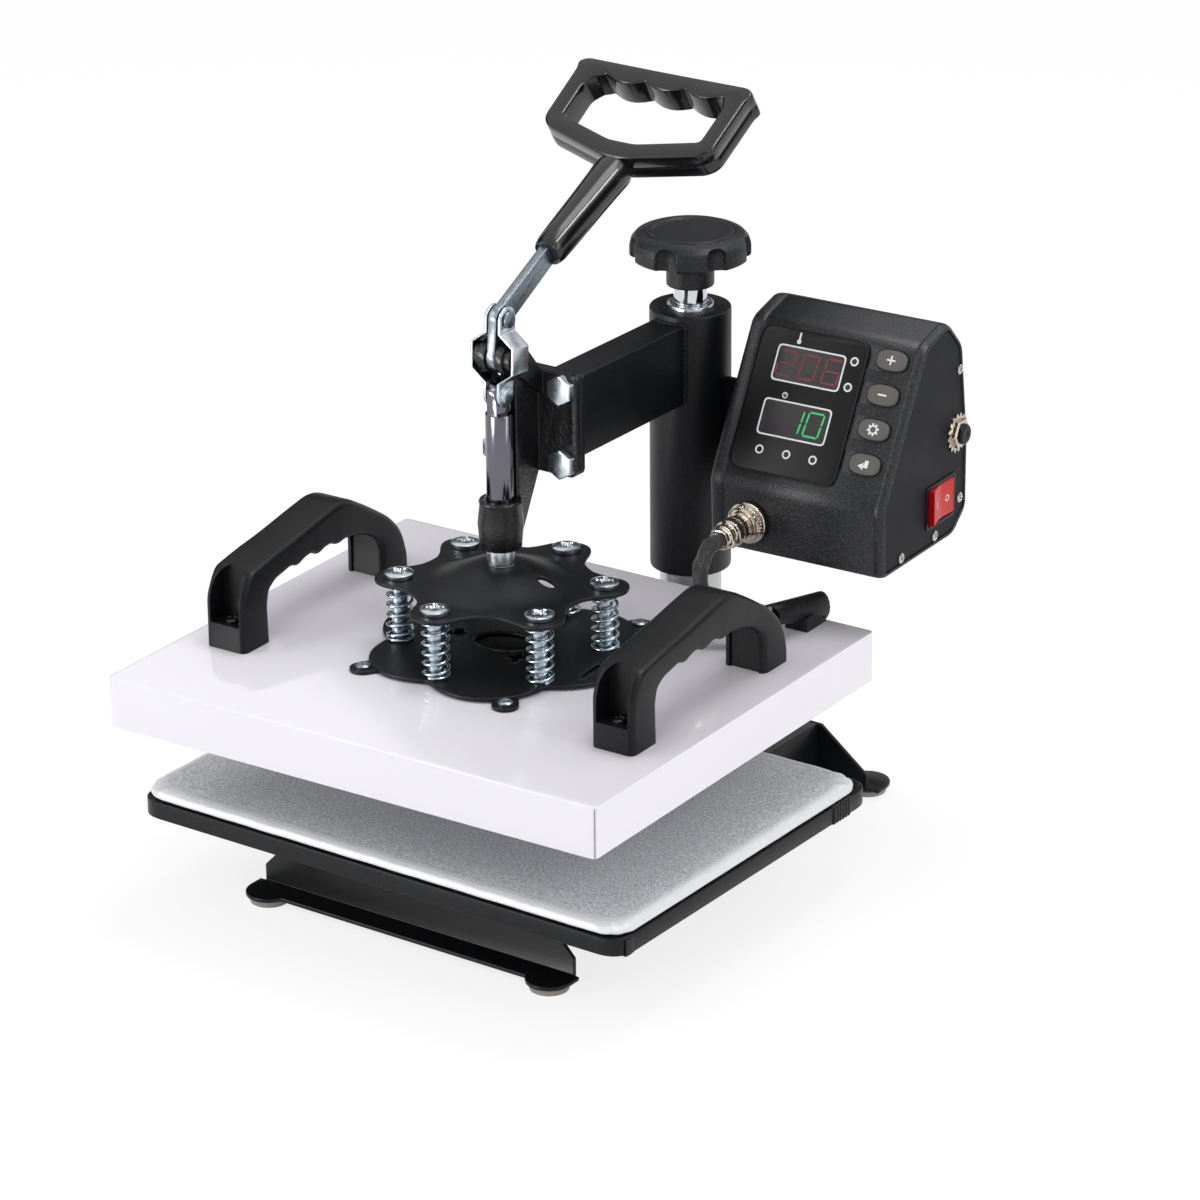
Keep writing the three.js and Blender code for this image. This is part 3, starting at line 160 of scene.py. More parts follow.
# %% Helpers for meshes
def make_piece(name, vertices, faces, material, body, sharp=40, uv=None):
    """A mesh object from points in metres and lists of corner numbers."""
    mesh = bpy.data.meshes.new(name)
    mesh.from_pydata(np.asarray(vertices).reshape(-1, 3).tolist(), [], [list(f) for f in faces])
    if uv is not None:
        layer = mesh.uv_layers.new(name="UVMap")
        corners = np.array([v for f in faces for v in f])
        layer.uv.foreach_set("vector", uv[corners].astype(np.float32).ravel())
    work = bmesh.new()
    work.from_mesh(mesh)
    bmesh.ops.recalc_face_normals(work, faces=work.faces)
    work.to_mesh(mesh)
    work.free()
    mesh.shade_smooth()
    if sharp:
        mesh.set_sharp_from_angle(angle=math.radians(sharp))
    mesh.materials.append(material)
    made = bpy.data.objects.new(name, mesh)
    bpy.context.scene.collection.objects.link(made)
    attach(made, body)
    return made


def grid_faces(rows, columns, round_rows=False):
    """Corner numbers of the quads of a grid whose rows are closed rings, and a face over its first and last row
    unless the rows go round too."""
    i, j = np.meshgrid(np.arange(rows if round_rows else rows - 1), np.arange(columns), indexing="ij")
    a = i * columns + j
    b = i * columns + (j + 1) % columns
    c = (i + 1) % rows * columns + (j + 1) % columns
    d = (i + 1) % rows * columns + j
    faces = np.stack([a, b, c, d], -1).reshape(-1, 4).tolist()
    if not round_rows:
        faces.append(list(range(columns)))
        faces.append(list(range((rows - 1) * columns, rows * columns)))
    return faces


def surface(name, grid, material, body, round_rows=False, sharp=40, uv=None):
    """A piece from a grid of points, rows by columns by three, in metres."""
    return make_piece(name, grid, grid_faces(*grid.shape[:2], round_rows), material, body, sharp, uv)


def soften(points, radius, closed=True, steps=5):
    """A polyline with its corners rounded: each corner is the curve from one tangent point to the other."""
    points = [np.asarray(p, float) for p in points]
    count, out = len(points), []
    for k, p in enumerate(points):
        if not closed and k in (0, count - 1):
            out.append(p[None])
            continue
        before, after = points[k - 1], points[(k + 1) % count]
        a, b = before - p, after - p
        reach = min(radius, np.linalg.norm(a) / 2.01, np.linalg.norm(b) / 2.01)
        a, b = p + a / np.linalg.norm(a) * reach, p + b / np.linalg.norm(b) * reach
        t = np.linspace(0, 1, steps + 1)[:, None]
        out.append((1 - t) ** 2 * a + 2 * t * (1 - t) * p + t ** 2 * b)
    return np.concatenate(out)


def resample(points, count, closed=True):
    """The same line with its points spread evenly along its length."""
    line = np.concatenate([points, points[:1]]) if closed else points
    run = np.concatenate([[0], np.cumsum(np.linalg.norm(np.diff(line, axis=0), axis=1))])
    at = np.linspace(0, run[-1], count, endpoint=not closed)
    return np.stack([np.interp(at, run, line[:, k]) for k in range(line.shape[1])], -1)


def lathe(profile, sides, axis="z"):
    """Grid of a [radius, height] profile turned about an axis through the origin."""
    profile = np.asarray(profile, float)
    angle = np.linspace(0, 2 * math.pi, sides, endpoint=False)
    r, h = profile[:, 0, None], profile[:, 1, None] + 0 * angle
    first, second = r * np.cos(angle), r * np.sin(angle)
    order = {"z": (first, second, h), "x": (h, first, second), "y": (second, h, first)}
    return np.stack(order[axis], -1)


def smoothstep(value):
    """0 below 0, 1 above 1, and a soft S between."""
    value = np.clip(value, 0, 1)
    return value * value * (3 - 2 * value)


def slab(name, outline, low, high, place, material, body, bevel=0.0):
    """A flat plate: an outline of (x, y) points carried from one height to another, with its rim bevelled."""
    outline = np.asarray(outline, float)
    rings = [np.column_stack([outline, np.full(len(outline), z)]) for z in (low, high)]
    made = surface(name, place(np.stack(rings)), material, body, sharp=30)
    if bevel:
        soft_edges(made, bevel)
    return made


def soft_edges(made, width, segments=2):
    """Rounds each edge that bends by more than 35 degrees, width in millimetres."""
    bevel = made.modifiers.new("soft edges", "BEVEL")
    bevel.width = width * MM
    bevel.segments = segments
    bevel.limit_method = "ANGLE"
    bevel.angle_limit = math.radians(35)
    bevel.harden_normals = True
    made.data.shade_smooth()


# %% [markdown]
# Many CAD solids already have the right shape and only lack the small radius that a real edge has, which is what
# catches the light. A copy of such a solid is merged, its flat faces are joined, and its edges are rounded. The
# CAD node then isn't shown.

# %% Helper for refined CAD solids
def refined(node, material, bevel, segments=2):
    """A copy of a CAD node with rounded edges that stands for the node."""
    body = frame["nodes"][node]["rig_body"]
    work = bmesh.new()
    work.from_mesh(frame["nodes"][node].data)
    bmesh.ops.remove_doubles(work, verts=work.verts, dist=2e-6)
    bmesh.ops.dissolve_limit(work, angle_limit=math.radians(0.6), verts=work.verts, edges=work.edges)
    mesh = bpy.data.meshes.new("fine_" + node)
    work.to_mesh(mesh)
    work.free()
    mesh.materials.clear()
    mesh.materials.append(material)
    made = bpy.data.objects.new("fine_" + node, mesh)
    bpy.context.scene.collection.objects.link(made)
    mesh.shade_smooth()
    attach(made, body)
    soft_edges(made, bevel, segments)
    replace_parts(made, node)


# %% [markdown]
# ## Finishes
# Colours are written as screen colours and turned to linear light. A small function adds a node. Most finishes of
# this press are a base with a fine grain in height and in roughness, so one function sets out such a finish from
# the size of its grain.

# %% Helpers for finishes
def linear(text):
    """A screen colour such as #1c1d1f as linear red, green, blue and one."""
    parts = [int(text[k:k + 2], 16) / 255 for k in (1, 3, 5)]
    return [c / 12.92 if c <= 0.04045 else ((c + 0.055) / 1.055) ** 2.4 for c in parts] + [1.0]


def add(tree, kind, values=None, links=None, **settings):
    """Adds a node with its settings, its fixed values and its incoming links."""
    made = tree.nodes.new(kind)
    for key, value in settings.items():
        setattr(made, key, value)
    for key, value in (values or {}).items():
        made.inputs[key].default_value = value
    for key, source in (links or {}).items():
        tree.links.new(source, made.inputs[key])
    return made


def empty_material(name):
    """A new material, its tree and its output node, with nothing else in the tree."""
    made = bpy.data.materials.new(name)
    made.use_nodes = True
    made.node_tree.nodes.clear()
    return made, made.node_tree, add(made.node_tree, "ShaderNodeOutputMaterial")


def grained(name, colour, roughness, grain, height, metallic=0.0, ior=1.45, spread=0.1, tone=0.0, blotch=30.0,
            coat=0.0, stretch=(1, 1, 1), crest_highlight=None):
    """A finish with a grain of a given size and height in millimetres. Its roughness varies by spread, and its colour
    by tone in blotches of a given size in millimetres. The crests of the grain may be painted a paler colour of their
    own, a painted highlight where they would catch the light."""
    made, tree, out = empty_material(name)
    shader = add(tree, "ShaderNodeBsdfPrincipled", {"Base Color": linear(colour), "Roughness": roughness,
                                                    "Metallic": metallic, "Coat Weight": coat})
    if not metallic:
        shader.inputs["IOR"].default_value = ior
    if coat:
        shader.inputs["Coat Roughness"].default_value = 0.06
    tree.links.new(shader.outputs[0], out.inputs["Surface"])
    place = add(tree, "ShaderNodeTexCoord").outputs["Object"]
    mapped = add(tree, "ShaderNodeMapping", {"Scale": stretch}, {"Vector": place}).outputs[0]
    fine = add(tree, "ShaderNodeTexNoise", {"Scale": 1000 / grain, "Detail": 3.0}, {"Vector": mapped})
    broad = add(tree, "ShaderNodeTexNoise", {"Scale": 1000 / blotch, "Detail": 4.0}, {"Vector": mapped})
    bump = add(tree, "ShaderNodeBump", {"Strength": 1.0, "Distance": height * MM}, {"Height": fine.outputs[0]})
    tree.links.new(bump.outputs[0], shader.inputs["Normal"])
    rough = add(tree, "ShaderNodeMapRange", {"To Min": roughness - spread, "To Max": roughness + spread},
                {"Value": broad.outputs[0]})
    tree.links.new(rough.outputs[0], shader.inputs["Roughness"])
    if tone:
        value = add(tree, "ShaderNodeMapRange", {"To Min": 1 - tone, "To Max": 1 + tone}, {"Value": broad.outputs[0]})
        dyed = add(tree, "ShaderNodeHueSaturation", {"Color": linear(colour)}, {"Value": value.outputs[0]})
        tree.links.new(dyed.outputs[0], shader.inputs["Base Color"])
    # Painted highlight: the crests of the grain are painted paler, standing in for the light they would catch.
    if crest_highlight:
        high = add(tree, "ShaderNodeMapRange", {"From Min": 0.5, "From Max": 0.68}, {"Value": fine.outputs[0]})
        crest_highlight_mix = add(tree, "ShaderNodeMix", {6: linear(colour), 7: linear(crest_highlight)}, {0: high.outputs[0]}, data_type="RGBA")
        tree.links.new(crest_highlight_mix.outputs[2], shader.inputs["Base Color"])
    return made


# %% [markdown]
# The steel parts are powder coated: dry paint baked to a skin, which leaves a fine orange peel. The peel is really
# about half a millimetre wide and would be lost at this distance, so it is drawn about twice as wide. Its crests are
# painted a little paler than its hollows, a painted highlight. The case has a "sand" texture with proud grains, and the
# bracket is painted over rough cast iron. The cover is enamelled sheet.

# %% Paints
# A satin black skin: dark, with a soft wide highlight. The crests of its peel are painted paler, a painted highlight.
powder = grained("powder_coat_satin", "#101114", 0.42, 1.0, 0.05, ior=1.34, crest_highlight="#1e2024")
# Proud grains catch the light: their crests are painted grey, a painted highlight, so the case looks sprinkled with
# grey.
sand_powder = grained("powder_coat_sand_texture", "#131418", 0.36, 0.9, 0.24, ior=1.45, spread=0.1, crest_highlight="#393b41")
# The case's side plates are flatter and nearly matt.
side_paint = grained("powder_coat_fine", "#15161a", 0.55, 0.9, 0.02, ior=1.26, tone=0.12)
# Smoother than the satin: the tray and the base show a narrow shine along their edges. The crests of its peel are
# painted slightly paler, a painted highlight.
gloss_paint = grained("powder_coat_semi_gloss", "#101114", 0.36, 1.1, 0.05, ior=1.32, crest_highlight="#1b1d20")
# Paint over sand-cast iron: glossy, but broken up by the casting's skin of 1 to 2 mm grains. The grains' crests are
# painted paler, a painted highlight.
cast_paint = grained("painted_cast_iron", "#0d0e10", 0.27, 1.7, 0.3, ior=1.5, spread=0.1, crest_highlight="#1c1d20")
# Glass-smooth enamel with a hint of violet. Its top coat mirrors the springs faintly.
enamel = grained("white_enamel", "#f6f3fb", 0.1, 2.5, 0.002, ior=1.5, spread=0.02, tone=0.01, coat=0.5)

# %% [markdown]
# Plastics: the grip is glossy moulded ABS, the knob and the side handles are a duller glass-filled nylon, the
# overlay is printed polyester film, the buttons are silicone, and the rocker is tinted polycarbonate. Moulded grain
# is about 0.3 mm wide and is drawn near 1 mm so that it shows.

# %% Plastics, rubber and print
# Injection-moulded and polished, so it shows clear streaks of light.
gloss_abs = grained("glossy_black_abs", "#08080a", 0.22, 1.6, 0.02, ior=1.46, spread=0.06, coat=0.3)
# Spark-eroded moulds leave a fine grain: black, with its crests painted paler as a dull painted sheen.
satin_nylon = grained("glass_filled_nylon", "#0c0d0f", 0.4, 0.9, 0.05, ior=1.31, spread=0.08, crest_highlight="#1a1b1f")
# The knob's grain is coarser, and its top looks greyer than its side. The crests of its grain are painted a paler grey,
# a painted sheen.
knob_nylon = grained("knob_nylon", "#101114", 0.46, 0.9, 0.06, ior=1.42, spread=0.08, crest_highlight="#33353a")
# The film is the darkest face of the case, flat and without grain.
film = grained("overlay_film", "#090a0c", 0.32, 1.0, 0.004, ior=1.3, spread=0.03)
# Smoked windows are a little redder than the film and reflect more sharply.
smoke = grained("smoked_window", "#1b1519", 0.12, 3.0, 0.001, ior=1.5, spread=0.02)
# Dusty, warm grey rubber.
button_rubber = grained("grey_silicone", "#5d5a56", 0.5, 0.5, 0.008, ior=1.36, spread=0.05, tone=0.03)
# Screen ink: plain, slightly matt white.
white_print = grained("white_screen_print", "#e9e9ea", 0.5, 0.6, 0.002, spread=0.04)
# Tinted right through, so it stays a deep red in the shade.
red_plastic = grained("red_polycarbonate", "#c80007", 0.34, 2.0, 0.004, ior=1.42, spread=0.04)
# Milky bearing plastic, seen only as a ring under the sleeve.
white_nylon = grained("natural_nylon", "#e4e1d8", 0.45, 1.0, 0.006, spread=0.05)
# Pressed fibres, felt-like and straw-coloured.
fibre = grained("pressed_glass_fibre", "#ddd6bd", 0.9, 1.2, 0.15, spread=0.05, tone=0.08)
# The green lacquer of a circuit board.
board_green = grained("solder_mask", "#1c6a38", 0.35, 3.0, 0.01, spread=0.05)
# The discs under the feet: dull grey moulded rubber.
disc_grey = grained("foot_disc_rubber", "#a39c95", 0.55, 1.5, 0.02, spread=0.06, tone=0.08)

# %% [markdown]
# Metals keep the default index of refraction, and their colour is the colour of their reflection. Plating is named
# by its look: zinc is bluish and faintly mottled in patches of a few millimetres, chrome and the ground rod mirror,
# nickel is warm, and the lever's bar shows the spangle of hot-dip zinc.

# %% Metals
# Links, screws and nuts: bright, with a mottle that breaks up the mirror.
zinc = grained("bright_zinc_plate", "#c8d0d7", 0.24, 1.3, 0.03, metallic=1.0, spread=0.1, tone=0.16, blotch=3.5)
# Zinc crystals of about 1.5 mm, some dark and some light.
spangled = grained("spangled_zinc_bar", "#89929b", 0.34, 1.4, 0.05, metallic=1.0, spread=0.12, tone=0.5,
                   blotch=1.5)
# A near mirror with hard edges between its lights and darks.
chrome = grained("hard_chrome", "#d0d3d8", 0.08, 4.0, 0.001, metallic=1.0, spread=0.03)
# Ground lengthwise, so its streaks run along it, and darker than chrome.
ground_rod = grained("ground_rod_steel", "#6c6b74", 0.13, 3.0, 0.002, metallic=1.0, spread=0.03, stretch=(1, 1, 0.1))
# Drawn wire under blue-passivated zinc: cold and shiny.
blue_wire = grained("blued_zinc_wire", "#bccbd6", 0.2, 1.3, 0.01, metallic=1.0, spread=0.05)
# Small machine screws, plated but dull from the tool.
bright_screw = grained("nickel_screw", "#b9b9b8", 0.3, 1.0, 0.01, metallic=1.0, spread=0.06)
# Blackened screws, which only their edges give away.
black_screw = grained("blackened_screw", "#3a3b3e", 0.35, 1.0, 0.01, metallic=1.0, spread=0.06)
# The tool's fine rings run round the post, so its highlight is drawn out along it.
turned_steel = grained("turned_steel", "#b4b6b8", 0.28, 12.0, 0.02, metallic=1.0, spread=0.05, stretch=(1, 1, 40))
# Warm and bright, with high contrast on knurls and threads.
nickel = grained("nickel_plate", "#c4b9ac", 0.16, 2.0, 0.004, metallic=1.0, spread=0.05, tone=0.04, blotch=3.0)
# A milled casting: pale, soft and slightly uneven.
aluminium = grained("machined_aluminium", "#b9bbbd", 0.38, 3.0, 0.02, metallic=1.0, spread=0.08, tone=0.05)


# %% [markdown]
# The digits shine through the window: dim red for the temperature, clear green for the seconds.

# %% Light of the digits
def lit(name, colour, strength):
    """A shining segment: a dark body that gives light of one colour."""
    made = bpy.data.materials.new(name)
    made.use_nodes = True
    shader = made.node_tree.nodes["Principled BSDF"]
    shader.inputs["Base Color"].default_value = linear(colour)
    shader.inputs["Roughness"].default_value = 0.4
    shader.inputs["Emission Color"].default_value = linear(colour)
    shader.inputs["Emission Strength"].default_value = strength
    return made


red_light = lit("red_segment", "#6a1117", 0.3)
green_light = lit("green_segment", "#13a55c", 0.62)
print(len(bpy.data.materials), "finishes so far")

# %% [markdown]
# ## The heater cable
# The cable leaves the connector on the front of the case, drops and curls into the guard on the heated plate. It is a
# limp cord in a braided sleeve. Its route repeats the points of the CAD source, smoothed by a spline, and the tube is a
# circle carried along it, crumpled by a wave in its radius. On the press it bends between the arm and the plunger when
# the press closes; here it is drawn in one shape. The sleeve's threads are finer on a real cable and are drawn 0.8 mm
# wide so that they show.

# %% Cable
CABLE_POINTS = np.array([
    [78.9, -88.9, 189.5], [79.2, -95.6, 189.2], [79.8, -102.5, 186.6], [80.6, -107.5, 181], [81.8, -110.6, 173.5],
    [83.6, -112.4, 165.5], [86.4, -112.9, 158.6], [90.4, -112.2, 153.6], [95.2, -110.2, 151], [100.2, -106.8, 150.2],
    [104.8, -103, 150.6], [108.8, -99, 151.8], [111.4, -94.6, 153.1], [112.3, -90.2, 153.8]])
CABLE_RADIUS = 4.4


def spline(points, count):
    """Catmull-Rom curve through the points, spread evenly: a cubic between each pair of neighbours."""
    ends = np.concatenate([[2 * points[0] - points[1]], points, [2 * points[-1] - points[-2]]])
    t = np.linspace(0, 1, 24, endpoint=False)[:, None]
    parts = []
    for a, b, c, d in zip(ends, ends[1:], ends[2:], ends[3:]):
        parts.append(0.5 * (2 * b + (c - a) * t + (2 * a - 5 * b + 4 * c - d) * t ** 2
                            + (3 * b - a - 3 * c + d) * t ** 3))
    return resample(np.concatenate([*parts, points[-1:]]), count, closed=False)


def carried_circle(path, radius, sides):
    """A circle carried along a path. Its frame is turned as little as possible from one point to the next."""
    along = np.gradient(path, axis=0)
    along /= np.linalg.norm(along, axis=1)[:, None]
    side = np.cross(along[0], [0.0, 0.0, 1.0])
    sides_at = []
    for t in along:
        side = side - t * (side @ t)
        side = side / np.linalg.norm(side)
        sides_at.append(side)
    s = np.array(sides_at)[:, None]
    n = np.cross(along, s[:, 0])[:, None]
    angle = np.linspace(0, 2 * math.pi, sides, endpoint=False)[None]
    radius = np.broadcast_to(radius, (len(path), sides))[..., None]
    return path[:, None] + radius * (np.cos(angle)[..., None] * s + np.sin(angle)[..., None] * n)


def braid(name, thread):
    """A braided sleeve: two sets of threads that cross on the cord's own UV map, one unit of it a millimetre. The
    crests of the threads are painted lighter, a painted highlight.
    """
    made = bpy.data.materials.new(name)
    made.use_nodes = True
    tree = made.node_tree
    shader = tree.nodes["Principled BSDF"]
    shader.inputs["Base Color"].default_value = linear("#141416")
    shader.inputs["Roughness"].default_value = 0.38
    uv = add(tree, "ShaderNodeUVMap", uv_map="UVMap").outputs[0]
    waves = []
    for angle in (0.7, -0.7):
        turned_uv = add(tree, "ShaderNodeMapping", {"Rotation": (0, 0, angle)}, {"Vector": uv}).outputs[0]
        waves.append(add(tree, "ShaderNodeTexWave", {"Scale": 1 / (3.2 * thread), "Distortion": 0.6},
                         {"Vector": turned_uv}).outputs[0])
    height = add(tree, "ShaderNodeMath", None, None, operation="MAXIMUM")
    for k, wave in enumerate(waves):
        tree.links.new(wave, height.inputs[k])
    bump = add(tree, "ShaderNodeBump", {"Distance": 0.0009}, {"Height": height.outputs[0]})
    tree.links.new(bump.outputs[0], shader.inputs["Normal"])
    # Painted highlight: the threads' crests are painted lighter in the base colour.
    shine = add(tree, "ShaderNodeMapRange", {"From Min": 0.9, "From Max": 1.0, "To Min": 0.012, "To Max": 0.16},
                {"Value": height.outputs[0]})
    tree.links.new(shine.outputs[0], shader.inputs["Base Color"])
    return made


cable_braid = braid("braided_sleeve", 0.8)
cable_path = at_post(spline(CABLE_POINTS, 150))
cable_run = np.linspace(0, 1, 150)[:, None]
cable_turn = np.linspace(0, 2 * math.pi, 28, endpoint=False)[None]
crumple = 1 + 0.2 * np.sin(3 * cable_turn + 34 * cable_run) * np.sin(19 * cable_run) ** 2
cable_grid = carried_circle(cable_path, CABLE_RADIUS * MM * 0.95 * crumple, 28)
cable_uv = np.stack(np.broadcast_arrays(cable_turn / (2 * math.pi) * 28, cable_run * 95), -1).reshape(-1, 2)
heater_cord = surface("heater_cord", cable_grid, cable_braid, "platen", uv=cable_uv)
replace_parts(heater_cord, "heater_cable")
# The cord rides on no single body: it is taken off its body and kept in the frame.
heater_cord.parent = None
del heater_cord["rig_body"]
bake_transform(heater_cord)

# %% [markdown]
# ## Base, tray and pad
# The base is folded and welded sheet. Its CAD solids only need rounded edges. The tray is a pressed pan.

# %% Base and tray
for node in ("base_channel", "front_beam", "rear_beam"):
    refined(node, gloss_paint, 0.5)
refined("tray", gloss_paint, 1.4, segments=4)
for node in ("foot_front_left", "foot_front_right", "foot_rear_left", "foot_rear_right"):
    refined(node, disc_grey, 0.5)
refined("post", turned_steel, 0.4)

# %% [markdown]
# Two thin straps are folded over the tray's right rim, near its rear and its front corner. The rear one is ribbed.
# A strap is an open section round the rim, carried along it. Ribs push the section outwards as a raised cosine.

# %% Straps on the tray's rim
def rim_clip(name, y0, y1, ribs, depth):
    """Rows along the rim from y0 to y1, columns round the section and back inside it."""
    run = np.linspace(y0, y1, 16 * ribs + 1)
    swell = depth * (0.5 - 0.5 * np.cos(2 * math.pi * ribs * (run - y0) / (y1 - y0)))
    section = np.array([[156.6, 45.2], [158.9, 45.3], [159.4, 46.2], [159.4, 54.6], [158.8, 55.8], [156.4, 55.9]])
    section = soften(section, 0.6, closed=False)
    outward = (section - RIM_CENTRE) / np.linalg.norm(section - RIM_CENTRE, axis=1)[:, None]
    outer = section[None] + outward[None] * swell[:, None, None]
    inner = np.broadcast_to(section[::-1] - outward[::-1] * STRAP_THICK, outer.shape)
    loop = np.concatenate([outer, inner], 1)
    grid = np.stack([loop[..., 0], np.broadcast_to(run[:, None], loop.shape[:2]), loop[..., 1]], -1)
    return surface(name, at_post(grid), gloss_paint, "base", sharp=50)


RIM_CENTRE, STRAP_THICK = np.array([154.0, 50.5]), 1.2
rim_clip("tray_clip_rear", -97.0, -80.0, 6, 0.5)
rim_clip("tray_clip_front", -290.5, -284.0, 1, 0.15)
print("strap thickness in mm:", STRAP_THICK)

# %% [markdown]
# The pad is foam under a coated glass cloth. The cloth is drawn over the edge, so a smoother band runs round it and
# fades into the top; this band is painted brighter, a painted sheen, and the top is painted paler towards its rim,
# painted light where less shade falls. The corners pucker, and the top has a pebble of about 1.2 mm, which is the weave
# showing through the coating. The surface is a rounded rectangle carried through a profile that climbs the side, rolls
# over and crowns towards the middle.

# %% Pad
PAD_FOOT, PAD_HALF, PAD_FRONT, PAD_BACK, PAD_CORNER = 54.6, 158.4, -296.2, -66.0, 15.0
BAND_WIDTH, BAND_FADE = 7.2, 3.0


def rounded_rectangle(x0, x1, y0, y1, radius, count):
    """Even points round a rectangle with quarter-circle corners."""
    quarter = np.linspace(0, math.pi / 2, 13)
    corners = [(x1 - radius, y1 - radius), (x0 + radius, y1 - radius), (x0 + radius, y0 + radius),
               (x1 - radius, y0 + radius)]
    arcs = [centre + radius * np.stack([np.cos(quarter + k * math.pi / 2), np.sin(quarter + k * math.pi / 2)], -1)
            for k, centre in enumerate(corners)]
    return resample(np.concatenate(arcs), count)


def silver_cloth_finish():
    """Coated cloth: pebbled where the attribute band is 0, smoother and painted brighter towards 1, a painted sheen on
    the rolled edge and painted light near the rim.
    """
    made = grained("silver_coated_cloth", "#e2e3e8", 0.5, 1.3, 0.35, metallic=0.15, spread=0.12, tone=0.3,
                   blotch=1.2)
    tree = made.node_tree
    shader = next(n for n in tree.nodes if n.type == "BSDF_PRINCIPLED")
    bump = next(n for n in tree.nodes if n.type == "BUMP")
    for node in (n for n in tree.nodes if n.type == "MAP_RANGE"):
        node.inputs["From Min"].default_value, node.inputs["From Max"].default_value = 0.36, 0.64
    band = add(tree, "ShaderNodeAttribute", attribute_name="band").outputs["Fac"]
    strength = add(tree, "ShaderNodeMapRange", {"To Min": 1.0, "To Max": 0.75}, {"Value": band})
    tree.links.new(strength.outputs[0], bump.inputs["Strength"])
    pebbled = shader.inputs["Base Color"].links[0].from_socket
    # Painted sheen: towards the rim the cloth is painted a brighter colour.
    colour = add(tree, "ShaderNodeMix", {7: linear("#f0f1f4")}, {0: band, 6: pebbled}, data_type="RGBA")
    tree.links.new(colour.outputs[2], shader.inputs["Base Color"])
    return made


def pad_surface():
    """Rows: (inset, height) profile. Columns: round the rim. Puckers are a wave whose height grows at corners."""
    columns = 720
    rim = rounded_rectangle(-PAD_HALF, PAD_HALF, PAD_FRONT, PAD_BACK, PAD_CORNER, columns)
    middle = np.array([0.0, (PAD_FRONT + PAD_BACK) / 2])
    half = np.array([PAD_HALF, (PAD_BACK - PAD_FRONT) / 2])
    # Near a corner the rim is close to two sides at once, and there the cloth puckers.
    away = np.abs(rim - middle) - (half - 24)
    corner = smoothstep(np.minimum(away[:, 0], away[:, 1]) / 20)
    profile = [[8.0, 1.7], [4.0, 1.7], [1.4, 1.9], [0.2, 2.5], [0, 4.0], [1.0, 6.2], [3.4, 8.0], [6.4, 8.5],
               [8.4, 8.3], [11, 8.5], [30, 8.8], [70, 8.9], [100, 8.9], [112, 8.9]]
    profile = soften(profile, 0.8, closed=False, steps=3)
    inset, height = profile[:, 0, None], profile[:, 1, None]
    spread = (rim - middle)[None] * (1 - inset[..., None] / half)
    run = np.arange(columns)[None] / columns
    wave = 0.16 * np.sin(run * 2 * math.pi * 37) + 0.12 * np.sin(run * 2 * math.pi * 23 + 1.3)
    wrinkle = np.sin(run * 2 * math.pi * 118) * corner[None] * 0.55 + wave
    rolled = np.exp(-((inset - 3) / 5) ** 2)
    z = PAD_FOOT + height + wrinkle * rolled * 0.8 - 0.35 * rolled * (height > 7)
    push = 1 + wrinkle[..., None] * rolled[..., None] * 0.0035
    grid = np.concatenate([spread * push + middle, np.broadcast_to(z, spread.shape[:2])[..., None]], -1)
    # The band over the edge is smoother and is also painted brighter, a painted sheen.
    band = smoothstep((BAND_WIDTH - inset + 6 * wave + 2.5 * corner[None]) / BAND_FADE)
    band = band * smoothstep((height - 1) / 1.5)
    # Painted light: the top is painted paler within about 16 mm of its rim, where less shade falls.
    band = np.maximum(0.85 * band, 0.4 * np.exp(-inset / 16))
    return grid, np.broadcast_to(band, spread.shape[:2])


pad_grid, pad_band_and_sheen = pad_surface()
silver_cloth = silver_cloth_finish()
pad = surface("pad_cover", at_post(pad_grid), silver_cloth, "base", sharp=0)
band_values = pad.data.attributes.new("band", "FLOAT", "POINT")
band_values.data.foreach_set("value", pad_band_and_sheen.astype(np.float32).ravel())
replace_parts(pad, "press_pad")
print("pad columns and rows:", pad_grid.shape[:2])

# %% [markdown]
# ## Arm, sleeve and bracket
# The sleeve turns on a nylon bush round the steel post. The arm is a welded box tube. The bracket is painted cast
# iron with a rough skin. All of them keep their CAD shapes, with softer edges.

# %% Arm, sleeve, screw and bracket
ARM_PIECES = [
    ("swing_sleeve", powder, 0.9, 3), ("swing_bush", white_nylon, 0.4, 2), ("lift_nut", zinc, 0.5, 2),
    ("lift_screw", chrome, 0.2, 2), ("arm_tube", powder, 1.6, 3), ("arm_end_plate", powder, 0.5, 2),
    ("plunger_bracket", cast_paint, 1.1, 3), ("box_bracket", powder, 0.4, 2),
    *[(f"flange_bolt_{k}", zinc, 0.7, 3) for k in range(1, 5)],
    ("lever_pivot_pin", zinc, 0.4, 2), ("lever_bar", spangled, 0.5, 2), ("link_left", zinc, 0.45, 2),
    ("link_right", zinc, 0.45, 2), ("plunger_rod", ground_rod, 0.5, 2)]
for node, finish, edge, segments in ARM_PIECES:
    refined(node, finish, edge, segments=segments)
print("arm and linkage:", len(ARM_PIECES), "refined solids")

# %% [markdown]
# A short plated collar sits on the rod's foot, and a weld bead joins the arm to the sleeve. The bead is a circle
# carried along a rounded frame that lies on the sleeve: y is minus the square root of the sleeve's radius squared
# less x squared. The welder's ripple is a sine in the bead's radius.

